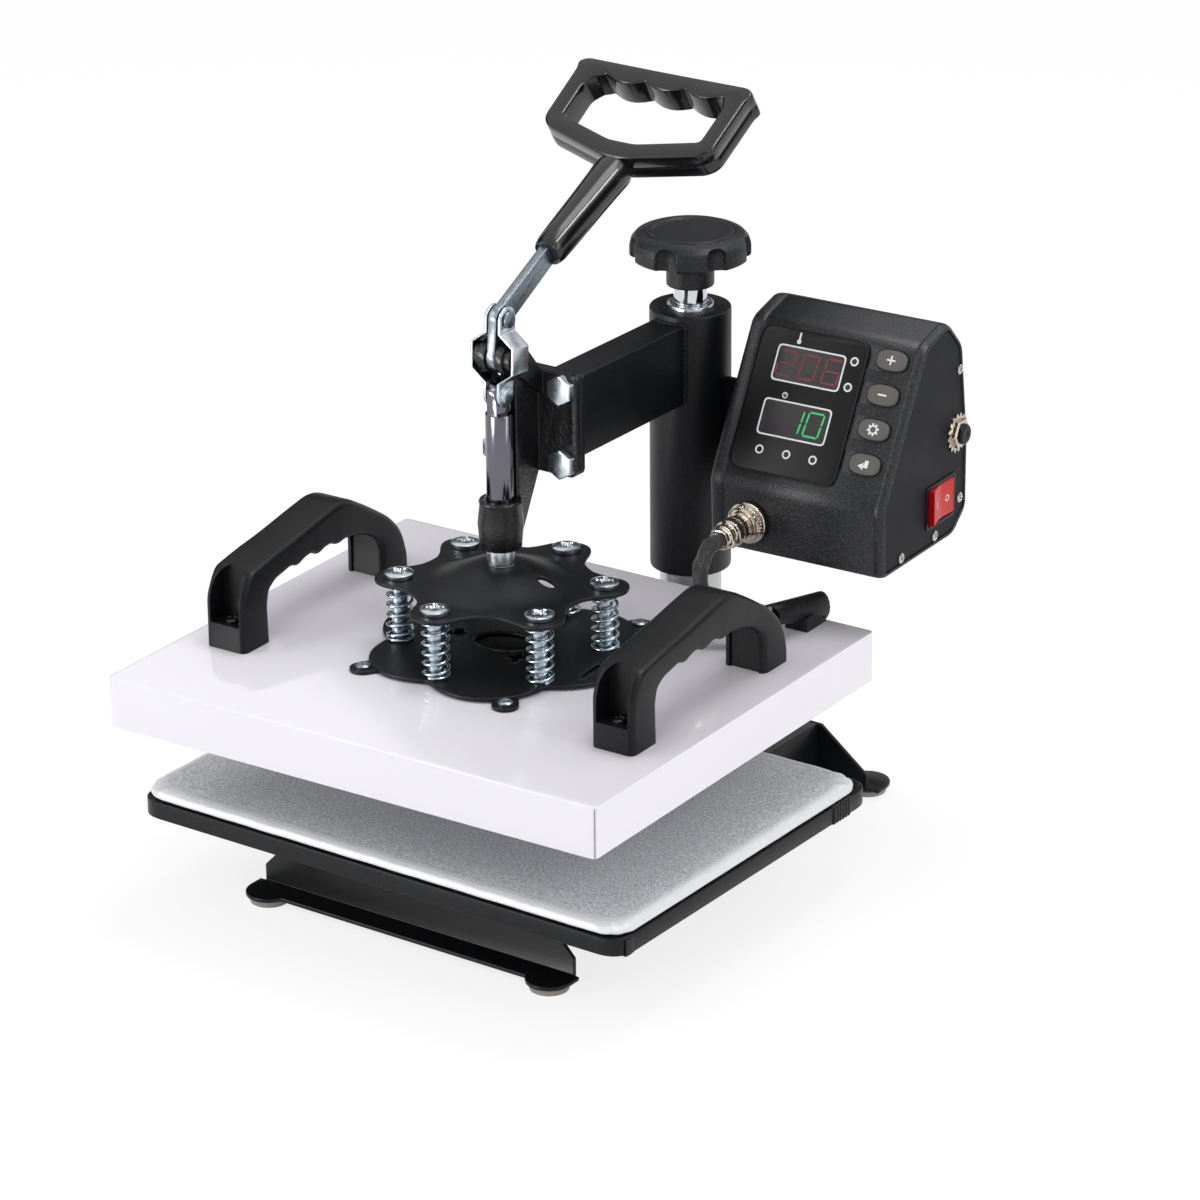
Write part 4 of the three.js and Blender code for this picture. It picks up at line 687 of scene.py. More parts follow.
# %% Collar and weld
COLLAR_INNER, COLLAR_OUTER, COLLAR_FOOT, COLLAR_TOP = 7.3, 7.8, 189.0, 197.6
collar = soften([[COLLAR_INNER, COLLAR_FOOT], [COLLAR_OUTER, COLLAR_FOOT], [COLLAR_OUTER, COLLAR_TOP],
                 [COLLAR_INNER, COLLAR_TOP]], 0.2)
surface("rod_collar", at_plunger(lathe(collar, 96)), zinc, "plunger", round_rows=True, sharp=50)
SLEEVE_RADIUS, WELD_HALF, WELD_LOW, WELD_HIGH, WELD_RADIUS, WELD_RIPPLE = 22.9, 10.3, 232.5, 277.6, 1.35, 0.25
bead_run = np.linspace(0, 2 * math.pi, 160, endpoint=False)
bead_line = resample(soften([[WELD_HALF, WELD_LOW], [WELD_HALF, WELD_HIGH], [-WELD_HALF, WELD_HIGH],
                             [-WELD_HALF, WELD_LOW]], 3.0), 160)
bead_y = -np.sqrt(SLEEVE_RADIUS ** 2 - bead_line[:, 0] ** 2)
bead_path = np.column_stack([bead_line[:, 0], bead_y, bead_line[:, 1]])
bead = carried_circle(bead_path, (WELD_RADIUS + WELD_RIPPLE * np.sin(46 * bead_run))[:, None], 10)
surface("weld_bead", at_post(bead), powder, "head", round_rows=True, sharp=0)
print("weld bead points:", len(bead_path))

# %% [markdown]
# ## The pressure knob
# A moulded knob with seven arched finger flutes, a domed shoulder, a ring groove and a sunk cap. The shape is a
# profile turned about the post, and each flute is a soft-edged arch pressed into it: its depth depends on the
# distance from the flute's middle line below the arch's centre, and from that centre above it.

# %% Knob
FLUTES, FLUTE_HALF, FLUTE_DEPTH, FLUTE_FLOOR, ARCH_HEIGHT = 7, 6.6, 5.4, 28.4, 317.8
FIRST_FLUTE, KNOB_RADIUS = math.radians(-28.8), 33.5
knob_profile = soften([[0.05, 295.0], [0.1, 294.6], [13.3, 294.6], [13.3, 310.4], [32.0, 310.4], [KNOB_RADIUS, 311.8],
                       [KNOB_RADIUS, 317.5], [32.6, 321.2], [30, 324.1], [26, 325.6], [25.2, 325.5], [25.1, 324.8],
                       [24.5, 324.8], [24.4, 325.6], [24, 326], [21.6, 326], [21.0, 325.6], [21.0, 324.9],
                       [0.1, 324.9]], 0.7, closed=False)
knob_profile = resample(knob_profile, 200, closed=False)
knob_profile[0], knob_profile[-1] = [0.05, 294.6], [0.05, 324.9]
knob_grid = lathe(knob_profile, 448)
theta = np.arctan2(knob_grid[..., 1], knob_grid[..., 0])
pitch = 2 * math.pi / FLUTES
nearest = (theta - FIRST_FLUTE + pitch / 2) % pitch - pitch / 2
radius = np.hypot(knob_grid[..., 0], knob_grid[..., 1])
distance = np.hypot(nearest * KNOB_RADIUS, np.clip(knob_grid[..., 2] - ARCH_HEIGHT, 0, None))
floor_radius = FLUTE_FLOOR + 2.6 * (distance / FLUTE_HALF) ** 2
press_in = np.clip(radius - floor_radius, 0, FLUTE_DEPTH) * smoothstep((FLUTE_HALF - distance) / 0.9)
knob_grid[..., :2] *= ((radius - press_in) / np.clip(radius, 0.01, None))[..., None]
knob = surface("knob_body", at_post(knob_grid), knob_nylon, "knob", sharp=0)
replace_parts(knob, "pressure_knob")
print("knob points:", knob_grid.shape[0] * knob_grid.shape[1])

# %% [markdown]
# ## The lever grip
# A closed ring with finger waves inside and a tapered neck on the lever. In its own plane the ring is described
# round its middle by two radii for each angle, outside and inside. A rounded rectangle fills the space between
# them. The ring's plane is tilted back.

# %% Grip ring
RING_TILT, RING_HALF_THICK, RING_EDGE = math.radians(32), 8.3, 1.5
PIVOT_HEIGHT = 304.9
RING_PLACE = np.array([0.0, -REACH + 114.2, PIVOT_HEIGHT + 79.2])
OUTER = [[6, -7.4], [49.8, 4.6], [54.9, 10.3], [55.4, 47.8], [57.2, 52.2], [52.6, 55.4]]
INNER = [[8.5, 4.1], [44.6, 13.6], [45, 38]]


def mirrored(points):
    """An outline's right half followed by its left half."""
    points = np.asarray(points, float)
    return np.concatenate([points, (points * [-1, 1])[::-1]])


def radii(outline, centre, angles):
    """How far an outline lies from a centre at each angle, by interpolation round it."""
    line = resample(outline, 4000) - centre
    bearing = np.arctan2(line[:, 1], line[:, 0])
    order = np.argsort(bearing)
    return np.interp(angles, bearing[order], np.hypot(line[:, 0], line[:, 1])[order], period=2 * math.pi)


def ring_section(inner, outer, half, edge):
    """Rows (radius, height) of a rounded rectangle between two radii: its four corners are quarter circles."""
    quarter = np.linspace(0, math.pi / 2, 5)
    rows = []
    for k, (wall, height) in enumerate([(outer, half), (inner, half), (inner, -half), (outer, -half)]):
        inward = -1 if k in (0, 3) else 1
        downward = -1 if k in (0, 1) else 1
        for a in quarter:
            angle = a + k * math.pi / 2
            rows.append((wall + edge * inward + edge * math.cos(angle), height + edge * downward
                         + edge * math.sin(angle) + 0 * wall))
    # The line where the halves of the mould met: a groove 0.35 mm deep round the outside.
    for depth, height in ((0, -0.45), (0.35, 0), (0, 0.45)):
        rows.append((outer - depth, height + 0 * outer))
    return rows


ring_centre = np.array([0.0, 26.0])
ring_angles = np.linspace(-math.pi, math.pi, 480, endpoint=False)
finger_u = np.linspace(40.5, -40.5, 60)
fingers = np.stack([finger_u, 46.8 - 4 * np.abs(np.sin(math.pi * (finger_u - 15.8) / 25.2)) ** 0.9], -1)
inner_line = np.concatenate([INNER, fingers, (np.array(INNER) * [-1, 1])[::-1]])
outer_radii = radii(soften(mirrored(OUTER), 4.5), ring_centre, ring_angles)
inner_radii = radii(soften(inner_line, 3.0), ring_centre, ring_angles)
rows = ring_section(inner_radii, outer_radii, RING_HALF_THICK, RING_EDGE)
ring_grid = []
for reach, height in rows:
    u = ring_centre[0] + reach * np.cos(ring_angles)
    v = ring_centre[1] + reach * np.sin(ring_angles)
    ring_grid.append(np.stack([u, v * math.cos(RING_TILT) - height * math.sin(RING_TILT),
                               v * math.sin(RING_TILT) + height * math.cos(RING_TILT)], -1))
ring_grid = np.array(ring_grid) + RING_PLACE
grip_ring = surface("grip_ring", at_post(ring_grid), gloss_abs, "lever", round_rows=True, sharp=0)
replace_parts(grip_ring, "lever_grip")

# %% [markdown]
# The neck is an oval carried up the lever. It starts with a rolled rim round the bar and widens into the ring.

# %% Grip neck
INCLINE, NECK_INCLINE, LEAN = math.radians(28.7), math.radians(25.7), math.radians(6)
CRANK_REACH, BARE_BAR, NECK_LENGTH = 20.7, 49.1, 70
crank = np.array([-REACH + CRANK_REACH * math.sin(LEAN), PIVOT_HEIGHT + CRANK_REACH * math.cos(LEAN)])
neck_start = crank + np.array([math.cos(INCLINE), math.sin(INCLINE)]) * BARE_BAR
# Each row is a distance up the neck and a share of its full width and height.
neck_rows = np.array([[0.6, 0.55], [0.0, 0.72], [-0.3, 0.84], [0.8, 0.9], [4, 0.97], [14, 1.0], [28, 1.0], [42, 1.0],
                      [56, 1.02], [66, 1.06], [72, 0.9]])
t = neck_rows[:, 0, None] / NECK_LENGTH
angle = np.linspace(0, 2 * math.pi, 64, endpoint=False)[None]
tall = 8.9 * neck_rows[:, 1, None]
wide = (8.8 + 1.4 * smoothstep(t)) * neck_rows[:, 1, None]
rise = np.sign(np.sin(angle)) * np.abs(np.sin(angle)) ** 0.85 * tall
neck_grid = np.stack([
    np.sign(np.cos(angle)) * np.abs(np.cos(angle)) ** 0.85 * wide,
    neck_start[0] + math.cos(NECK_INCLINE) * NECK_LENGTH * t - math.sin(NECK_INCLINE) * rise,
    neck_start[1] + math.sin(NECK_INCLINE) * NECK_LENGTH * t + math.cos(NECK_INCLINE) * rise], -1)
surface("grip_neck", at_post(neck_grid), gloss_abs, "lever", sharp=60)
print("grip ring points:", ring_grid.shape[0] * ring_grid.shape[1])

# %% [markdown]
# ## Heated plate
# The cover is a folded box of white enamelled sheet with nearly sharp edges. Its front right corner shows the thin
# dark seam where two folds meet, which is drawn as a narrow slab. The plate below it is cast aluminium, and a mat
# of glass fibre lies between them.

# %% Cover and plate
refined("platen_cover", enamel, 0.5, segments=3)
refined("heater_plate", aluminium, 0.6)


def repaint(node, material):
    """Gives a CAD node that stays as it is another material."""
    frame["nodes"][node].data.materials.clear()
    frame["nodes"][node].data.materials.append(material)


repaint("insulation", fibre)
# The gap between the folds, which only shows as a grey line.
seam_dark = grained("seam_shadow", "#6d6b70", 0.6, 1.0, 0.001, spread=0.02)
seam = np.array([154.7, -143.8]) + [[-0.2, -0.1], [0.25, -0.1], [0.25, 0.15], [-0.2, 0.15]]
slab("cover_seam", seam, 110.6, 138.2, on_platen, seam_dark, "platen")
print("seam width in mm:", round(float(np.ptp(seam[:, 0])), 2))

# %% [markdown]
# ## Spring head
# A dished star plate on the plunger rests on six springs round bright shouldered screws, which stand on a lobed
# plate. The star and the lobed plate are each one radius for every angle. The star's is read from a few values
# between an ear and a scallop, so that it repeats six times. Its dish is a height that falls from the plunger.

# %% Star plate
EARS, FIRST_EAR, RING = 6, math.radians(25.5), 55.5
ear_offsets = np.radians([0, 4, 7.5, 10.5, 14, 18, 23, 30])
ear_radii = [68.8, 68.3, 66.6, 63.4, 58.0, 53.4, 50.4, 49.6]
star_angle = np.linspace(0, 2 * math.pi, 720, endpoint=False)
from_ear = np.abs((star_angle - FIRST_EAR + math.pi / EARS) % (2 * math.pi / EARS) - math.pi / EARS)
star_rim = np.interp(from_ear, ear_offsets, ear_radii)
kernel = np.hanning(15) / np.hanning(15).sum()
star_rim = np.convolve(np.concatenate([star_rim[-7:], star_rim, star_rim[:7]]), kernel, "valid")


def dish(radius):
    """Height of the star's top: flat outside, rising in a soft S to the plunger's foot."""
    return 177.8 + 10.8 * smoothstep((44 - radius) / 35)


def plate_grid(rim, thickness, top, inner, edge=0.5):
    """Rows from the inner hole out along the top, round the rim, and back underneath."""
    shares = np.linspace(0, 1, 26)[:, None]
    over = inner + (rim - edge - inner) * shares
    rows = [(over, top(over)), (rim - edge * 0.3, top(rim) - edge * 0.3), (rim, top(rim) - edge),
            (rim, top(rim) - thickness + edge), (rim - edge * 0.3, top(rim) - thickness + edge * 0.3),
            (over[::-1], top(over[::-1]) - thickness)]
    pairs = [np.broadcast_arrays(np.atleast_2d(r), np.atleast_2d(z), rim[None])[:2] for r, z in rows]
    r, z = np.concatenate([pair[0] for pair in pairs]), np.concatenate([pair[1] for pair in pairs])
    return np.stack([r * np.cos(star_angle), r * np.sin(star_angle), z], -1)


def cut_holes(made, cutters):
    """Cuts solids out of a piece, exactly, and removes them."""
    for cutter in cutters:
        knife = made.modifiers.new("hole", "BOOLEAN")
        knife.operation = "DIFFERENCE"
        knife.object = cutter
        knife.solver = "EXACT"
    bpy.context.view_layer.update()
    shape = bpy.data.meshes.new_from_object(made.evaluated_get(bpy.context.evaluated_depsgraph_get()))
    made.modifiers.clear()
    made.data = shape
    for cutter in cutters:
        bpy.data.objects.remove(cutter)


def hole(outline, low, high, place):
    """An upright prism to cut a hole with."""
    outline = np.asarray(outline, float)
    rings = np.stack([np.column_stack([outline, np.full(len(outline), z)]) for z in (low, high)])
    return surface("cutter", place(rings), powder, "base", sharp=0)


def oval(x, y, half_x, half_y, angle=0.0, count=32):
    """Points of an ellipse, turned about its centre."""
    a = np.linspace(0, 2 * math.pi, count, endpoint=False)
    u, v = half_x * np.cos(a), half_y * np.sin(a)
    return np.stack([x + u * math.cos(angle) - v * math.sin(angle), y + u * math.sin(angle) + v * math.cos(angle)], -1)


star = surface("star_dish", on_platen(plate_grid(star_rim, 2.0, dish, 7.4)), powder, "plunger",
               round_rows=True, sharp=50)
cut_holes(star, [hole(outline, 170, 190, on_platen) for outline in
                 (oval(27.6, 1.9, 5.0, 3.6, 0.3), oval(-36.8, 11, 5.4, 1.2, 0.9))])
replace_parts(star, "star_plate")
print("star plate faces:", len(star.data.polygons))

# %% [markdown]
# The lobed plate is flat, and its radius is the absolute value of a sine, which gives rounded lobes with sharp
# notches between them. The same smoothing as on the star softens the notches. It has an oval opening in the middle,
# two punched arrows and a slot.

# %% Lobed plate
lobed_rim = 62.3 + 12 * np.abs(np.sin(EARS / 2 * (star_angle - FIRST_EAR)))
lobed_rim = np.convolve(np.concatenate([lobed_rim[-7:], lobed_rim, lobed_rim[:7]]), kernel, "valid")
lobed = surface("lobed_disc", on_platen(plate_grid(lobed_rim, 2.0, lambda r: 141.8 + 0 * r, 3.0)), powder,
                "platen", round_rows=True, sharp=50)


def arrow_cut(x, y, angle):
    """A punched hole like a stubby arrow: a head, a stem and two wings, turned about its middle."""
    points = np.array([[-7, -2], [-2, -2], [-2, -6], [3, -6], [3, -2], [7, 0], [3, 3], [3, 6], [-2, 6], [-2, 2],
                       [-7, 3]])
    c, s = math.cos(angle), math.sin(angle)
    return points @ np.array([[c, s], [-s, c]]) + [x, y]


cut_holes(lobed, [hole(outline, 135, 150, on_platen) for outline in
                  (oval(-0.9, 3.5, 17, 12.5, 0.2), arrow_cut(-28.3, -0.8, 0.6), arrow_cut(17.1, -11.0, 1.9),
                   oval(60.5, -6.9, 1.8, 12, 0.1))])
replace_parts(lobed, "lobed_plate")
print("lobed plate faces:", len(lobed.data.polygons))

# %% [markdown]
# Each screw is a dome on a shank with a cross pressed into it. The dome's height depends on the distance from the
# screw's axis, and the cross is a soft trench in it. The same function makes the small case screws.

# %% Screws
def screw_grid(head, rise, foot, rim, cross, shank=None, shank_foot=0.0, turn=0.0):
    """Rows: shank from its foot, under the head, round its rim and over the dome. Height is local z."""
    angle = np.linspace(0, 2 * math.pi, 64, endpoint=False)
    start = [] if shank is None else [[0.05, shank_foot], [shank, shank_foot], [shank, foot]]
    dome = np.linspace(1, 0.01, 22)
    over = np.stack([head * dome, foot + rim + (rise - rim) * (1 - dome ** 4)], -1)
    profile = np.array([*start, [head * 0.97, foot], [head, foot + rim * 0.3], *over])
    grid = lathe(profile, 64)
    arm = np.minimum(np.abs(np.sin(2 * (angle - turn)) / 2), 0.5)
    radius = profile[:, 0, None]
    width = radius * arm
    trench = smoothstep((0.17 * head - width) / (0.06 * head)) * smoothstep((0.62 * head - radius) / (0.1 * head))
    top = profile[:, 1, None] > foot + rim * 0.6
    grid[..., 2] -= cross * trench * top * (np.arange(len(profile))[:, None] > 4)
    return grid


ring_angle = FIRST_EAR + np.arange(EARS) * math.pi / 3
for k, a in enumerate(ring_angle):
    grid = screw_grid(8.0, 3.2, 178.1, 2.3, 1.4, shank=4.3, shank_foot=141.9, turn=0.5 + 0.8 * k)
    place = np.array([RING * math.cos(a), RING * math.sin(a), 0])
    screw = surface(f"spring_screw_{k + 1}", on_platen(grid + place), zinc, "platen", sharp=35)
    if k == 0:
        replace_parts(screw, "bolt_plate")
print("screw points each:", grid.shape[0] * grid.shape[1])

# %% [markdown]
# Under the lobed plate a thin disc with four ears is screwed to the cover. The disc is again one radius for every
# angle: a circle, and at each ear the far side of a smaller circle. A thicker round-ended tab strengthens each ear.

# %% Eared disc
EAR_PLACES = np.array([[45.8, 64.1], [-45.8, 64.1], [-45.8, -64.1], [45.8, -64.1]])
EAR_REACH, EAR_RADIUS, TAB_RADIUS, DISC_RADIUS = 78.8, 5.5, 7.2, 61.0
plate_rim = np.full(720, DISC_RADIUS)
for x, y in EAR_PLACES:
    off = (star_angle - math.atan2(y, x) + math.pi) % (2 * math.pi) - math.pi
    beside = np.clip(EAR_RADIUS ** 2 - (EAR_REACH * np.sin(off)) ** 2, 0, None)
    plate_rim = np.where((beside > 0) & (np.abs(off) < 1), EAR_REACH + np.sqrt(beside), plate_rim)
for k, (x, y) in enumerate(EAR_PLACES):
    a = np.linspace(-math.pi / 2, math.pi / 2, 25)
    end = np.stack([EAR_REACH + TAB_RADIUS * np.cos(a), TAB_RADIUS * np.sin(a)], -1)
    tab = np.concatenate([[[62, -TAB_RADIUS]], end, [[62, TAB_RADIUS]]])
    tab = turned(np.column_stack([tab, np.zeros(len(tab))]), math.atan2(y, x))[:, :2]
    slab(f"ear_tab_{k + 1}", tab, 138.85, 140.9, on_platen, powder, "platen", bevel=0.4)
surface("eared_plate", on_platen(plate_grid(plate_rim, 0.95, lambda r: 139.75 + 0 * r, 0.3, edge=0.25)), powder,
        "platen", round_rows=True, sharp=50)
for k, (x, y) in enumerate(EAR_PLACES):
    surface(f"ear_screw_{k + 1}", on_platen(screw_grid(4.2, 2.2, 140.9, 1.1, 0.9, turn=0.3 * k) + [x, y, 0]), spangled,
            "platen", sharp=35)
print("ears:", len(EAR_PLACES))

# %% [markdown]
# A spring is a wire circle carried up a helix. Its pitch closes over the last eight tenths of a turn at each end, as a
# ground end does, so that the spring stands flat. On the press the springs shorten as the plate floats; here each is
# drawn at one length, with a mesh of its own.

# %% Springs
SPRING_LOW, SPRING_HIGH, WIRE, COIL_RADIUS, TURNS, CLOSED = 142.1, 175.5, 1.8, 6.7, 7.0, 0.8
share = np.linspace(0, 1, int(TURNS * 40))
climb = np.cumsum(np.where((share * TURNS < CLOSED) | (share * TURNS > TURNS - CLOSED), 0.12, 1.0))
climb = (climb - climb[0]) / (climb[-1] - climb[0])
helix_z = SPRING_LOW + WIRE / 2 + climb * (SPRING_HIGH - SPRING_LOW - WIRE)
helix_angle = share * TURNS * 2 * math.pi
helix = np.stack([COIL_RADIUS * np.cos(helix_angle), COIL_RADIUS * np.sin(helix_angle), helix_z], -1)
for k, a in enumerate(ring_angle):
    place = np.array([RING * math.cos(a), RING * math.sin(a), 0])
    grid = carried_circle(turned(helix, a) + place, WIRE / 2, 10)
    coil = surface(f"coil_spring_{k + 1}", on_platen(grid), blue_wire, "platen", sharp=0)
    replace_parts(coil, f"float_spring_{k + 1}")
    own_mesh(coil)
print("spring points each:", helix.shape[0] * 10)

# %% [markdown]
# ## Side handles
# Each moulded handle bridges two feet. Its top line and its wavy underside are two curves over the same run, and a
# rounded rectangle fills the space between them. The front foot has a deep arched pocket with a screw at its base.

# %% Handle shape
HANDLE_X, HANDLE_FRONT, HANDLE_LENGTH, HANDLE_HEIGHT, HANDLE_HALF, HANDLE_EDGE = 124.0, -81.8, 151.5, 58.0, 13.0, 3.6
HANDLE_OUTER = np.array([[0, 0], [0, 0.5], [0.026, 0.638], [0.053, 0.75], [0.185, 0.819], [0.323, 0.872],
                         [0.475, 0.948], [0.6, 1], [0.66, 0.971], [0.779, 0.793], [0.904, 0.579], [0.97, 0.393],
                         [1, 0.138], [1, 0]])
HANDLE_INNER = np.array([[0.158, 0], [0.152, 0.362], [0.165, 0.5], [0.205, 0.569], [0.3, 0.615], [0.337, 0.578],
                         [0.38, 0.62], [0.422, 0.632], [0.46, 0.582], [0.5, 0.618], [0.541, 0.622], [0.578, 0.578],
                         [0.62, 0.6], [0.686, 0.578], [0.766, 0.517], [0.818, 0.431], [0.838, 0.328], [0.838, 0]])


def handle_grid(side):
    """Rows along the handle from its front foot to its rear foot, columns round its section."""
    size = np.array([HANDLE_LENGTH, HANDLE_HEIGHT])
    outer = resample(soften(HANDLE_OUTER * size, 9, closed=False), 130, closed=False)
    inner = resample(soften(HANDLE_INNER * size, 2.2, closed=False), 130, closed=False)
    depth = np.linalg.norm(outer - inner, axis=1)[:, None]
    along = (outer - inner)[:, None] / depth[..., None]
    columns = []
    for k, (u, v) in enumerate([(1, 1), (-1, 1), (-1, 0), (1, 0)]):
        angle = np.linspace(0, math.pi / 2, 6) + k * math.pi / 2
        offset = (depth - HANDLE_EDGE if v else HANDLE_EDGE) + HANDLE_EDGE * np.sin(angle)[None]
        point = inner[:, None] + along * np.broadcast_to(offset, (130, 6))[..., None]
        x = side * HANDLE_X + u * (HANDLE_HALF - HANDLE_EDGE) + HANDLE_EDGE * np.cos(angle)
        columns.append(np.stack([np.broadcast_to(x, point.shape[:2]), point[..., 0] + HANDLE_FRONT,
                                 point[..., 1] + COVER_TOP + 0.1], -1))
    return np.concatenate(columns, 1)


print("handle length and height in mm:", HANDLE_LENGTH, HANDLE_HEIGHT)

# %% [markdown]
# The pocket in the front foot and the shallow panel on the rear foot are both an arch: half an ellipse on straight
# sides. The arch is carried from front to rear, and the solid that this makes is cut out of the foot.

# %% Handles
def arch(half, foot, spring, rise):
    """Outline of an arch: straight from its foot to where it springs, then half an ellipse."""
    a = np.linspace(0, math.pi, 25)
    over = np.stack([half * np.cos(a), spring + rise * np.sin(a)], -1)
    return np.concatenate([[[half, foot]], over, [[-half, foot]]])


def arch_cutter(outline, side, front, rear):
    """The arch carried from front to rear at a handle's place."""
    rings = [np.stack([side * HANDLE_X + outline[:, 0], np.full(len(outline), y), outline[:, 1] + COVER_TOP], -1)
             for y in (front, rear)]
    return surface("cutter", on_platen(np.array(rings)), satin_nylon, "base", sharp=0)


POCKET_FLOOR = 14.5
for name, side in (("left", -1), ("right", 1)):
    handle = surface(f"bridge_handle_{name}", on_platen(handle_grid(side)), satin_nylon, "platen",
                     sharp=50)
    cut_holes(handle, [arch_cutter(arch(9.6, POCKET_FLOOR, 34, 12), side, -96, -69),
                       arch_cutter(arch(9.2, -3, 28, 9.2), side, 38, 46.6)])
    handle.data.shade_smooth()
    handle.data.set_sharp_from_angle(angle=math.radians(38))
    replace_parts(handle, f"handle_{name}")
    grid = screw_grid(4.2, 2.4, 0, 1.2, 0.8, turn=0.4)
    surface(f"handle_screw_{name}", on_platen(grid + [side * HANDLE_X, -74.5, COVER_TOP + POCKET_FLOOR - 0.1]),
            black_screw, "platen", sharp=35)
refined("cable_hood", satin_nylon, 0.8, segments=3)
print("handle faces:", len(handle.data.polygons))

# %% [markdown]
# ## Control case
# The case is one folded shell, closed by a plate on each side. Its shell is the side outline carried across, drawn
# in a little towards each end, which rounds the long edges.

# %% Case shell
CASE_OUTLINE = np.array([[1.5, -40], [0, 0], [45.5, 79.5], [71.8, 86.2], [88, 69.5], [95.4, 13.8], [95.4, -27.8],
                         [80.6, -40]])
case_rim = resample(soften(CASE_OUTLINE, 5.0, steps=8), 420)
case_ahead = np.roll(case_rim, -1, axis=0) - np.roll(case_rim, 1, axis=0)
case_ahead /= np.linalg.norm(case_ahead, axis=1)[:, None]
case_inward = np.stack([case_ahead[:, 1], -case_ahead[:, 0]], -1)
if (case_inward[0] @ (case_rim.mean(0) - case_rim[0])) < 0:
    case_inward = -case_inward
# Each row is a place across the case and how far the outline is drawn in there.
left_lip = [(-49.0, 5.4), (-54.6, 5.2), (-55.6, 4.8), (-56.2, 4.0), (-56.1, 3.0), (-55.2, 1.7), (-53.6, 0.8),
            (-51.4, 0.3), (-49.2, 0.1), (-47.2, 0.0), (-46.9, 0.3), (-46.5, 0.35), (-46.2, 0.0)]
right_lip = [(46.2, 0.0), (46.5, 0.35), (46.9, 0.3), (47.2, 0.0), (48.6, 0.15), (50.2, 0.6), (51.4, 1.2), (52.1, 2.0),
             (52.2, 2.7), (51.8, 3.1), (51.2, 3.2), (49.6, 3.2)]


def across_case(rows, inset=0.0):
    """The side outline at each (place, drawn in) row, in the frame."""
    return in_case(np.array([np.column_stack([np.full(len(case_rim), x), case_rim + case_inward * (inset + d)])
                             for x, d in rows]))


shell = surface("case_body", across_case(left_lip + right_lip), sand_powder, "head", sharp=60)
print("case outline points:", len(case_rim))

# %% [markdown]
# The shell has a hole for each button, so that the button can be pressed into it. The side plates are the same
# outline, drawn in further, and lie nearly flush with the shell's rims. Four screws hold each of them.

# %% Button holes and side plates
def squarish(x, y, half_x, half_y):
    """Points of an oval between an ellipse and a box: its coordinates are cosine and sine raised to 2 / 2.7."""
    a = np.linspace(0, 2 * math.pi, 72, endpoint=False)
    shape = np.stack([np.sign(np.cos(a)) * np.abs(np.cos(a)) ** (2 / 2.7),
                      np.sign(np.sin(a)) * np.abs(np.sin(a)) ** (2 / 2.7)], -1)
    return shape * [half_x, half_y] + [x, y]


BUTTON_X = 35.0
BUTTONS = {"button_confirm": 23.4, "button_set": 42.6, "button_minus": 61.8, "button_plus": 81.0}
cut_holes(shell, [hole(squarish(BUTTON_X, d, 9.5, 6.0), -3.0, 1.5, on_face) for d in BUTTONS.values()])
shell.data.set_sharp_from_angle(angle=math.radians(60))
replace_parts(shell, "case_shell")
LEFT_FACE, RIGHT_FACE, PLATE_INSET, PLATE_EDGE = -50.2, 51.4, 3.6, 0.4
for node, x0, x1 in (("case_side_left", LEFT_FACE, -46.0), ("case_side_right", 46.0, RIGHT_FACE)):
    plate = across_case([(x0, PLATE_EDGE), (x0 + PLATE_EDGE, 0.0), (x1 - PLATE_EDGE, 0.0), (x1, PLATE_EDGE)],
                        PLATE_INSET)
    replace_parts(surface("fine_" + node, plate, side_paint, "head"), node)
repaint("control_board", board_green)
for name, side, face in (("right", 1, RIGHT_FACE), ("left", -1, LEFT_FACE)):
    for k, (y, z) in enumerate([(85.4, 55.0), (87.6, -20.0), (60.0, -33.4), (22.6, -33.6)]):
        grid = screw_grid(2.9, 1.1, 0, 0.5, 0.8, turn=0.5 * k)[..., [2, 0, 1]] * [side, 1, 1]
        surface(f"case_screw_{name}_{k + 1}", in_case(grid + [face, y, z]), bright_screw, "head",
                sharp=35)
print("case shell faces:", len(shell.data.polygons))

# %% [markdown]
# The overlay is a film with a raised lip. Two white frames hold the smoked windows, and five small rings are the
# lamps. A thermometer and a clock stand over the two windows. All of it is one kind of piece: an outline, or a ring
# between two outlines. Screen ink is a few hundredths of a millimetre thick. It is drawn a little over a tenth
# thick, so that it stays clear of the film at every render size.

# %% Overlay and windows
refined("panel_overlay", film, 0.25)
FILM_TOP = 1.12


def printed(name, outline, inner=None, foot=FILM_TOP, rise=0.16, material=white_print, body="head"):
    """A thin plate on the sloping face, or a flat ring where an inner outline with as many points is given."""
    if inner is None:
        return slab(name, outline, foot, foot + rise, on_face, material, body)
    rows = [np.column_stack([line, np.full(len(line), z)]) for line, z in
            ((outline, foot), (outline, foot + rise), (inner, foot + rise), (inner, foot))]
    return surface(name, on_face(np.array(rows)), material, body, round_rows=True, sharp=30)


def box_outline(x0, x1, y0, y1, radius, count=80):
    """Even points round a rounded box."""
    return resample(soften([[x0, y0], [x1, y0], [x1, y1], [x0, y1]], radius, steps=6), count)


def bar(x0, y0, x1, y1, width):
    """Four corners of a stroke."""
    a, b = np.array([x0, y0], float), np.array([x1, y1], float)
    along = (b - a) / np.linalg.norm(b - a)
    side = np.array([-along[1], along[0]]) * width / 2
    return np.array([a - side, b - side, b + side, a + side])


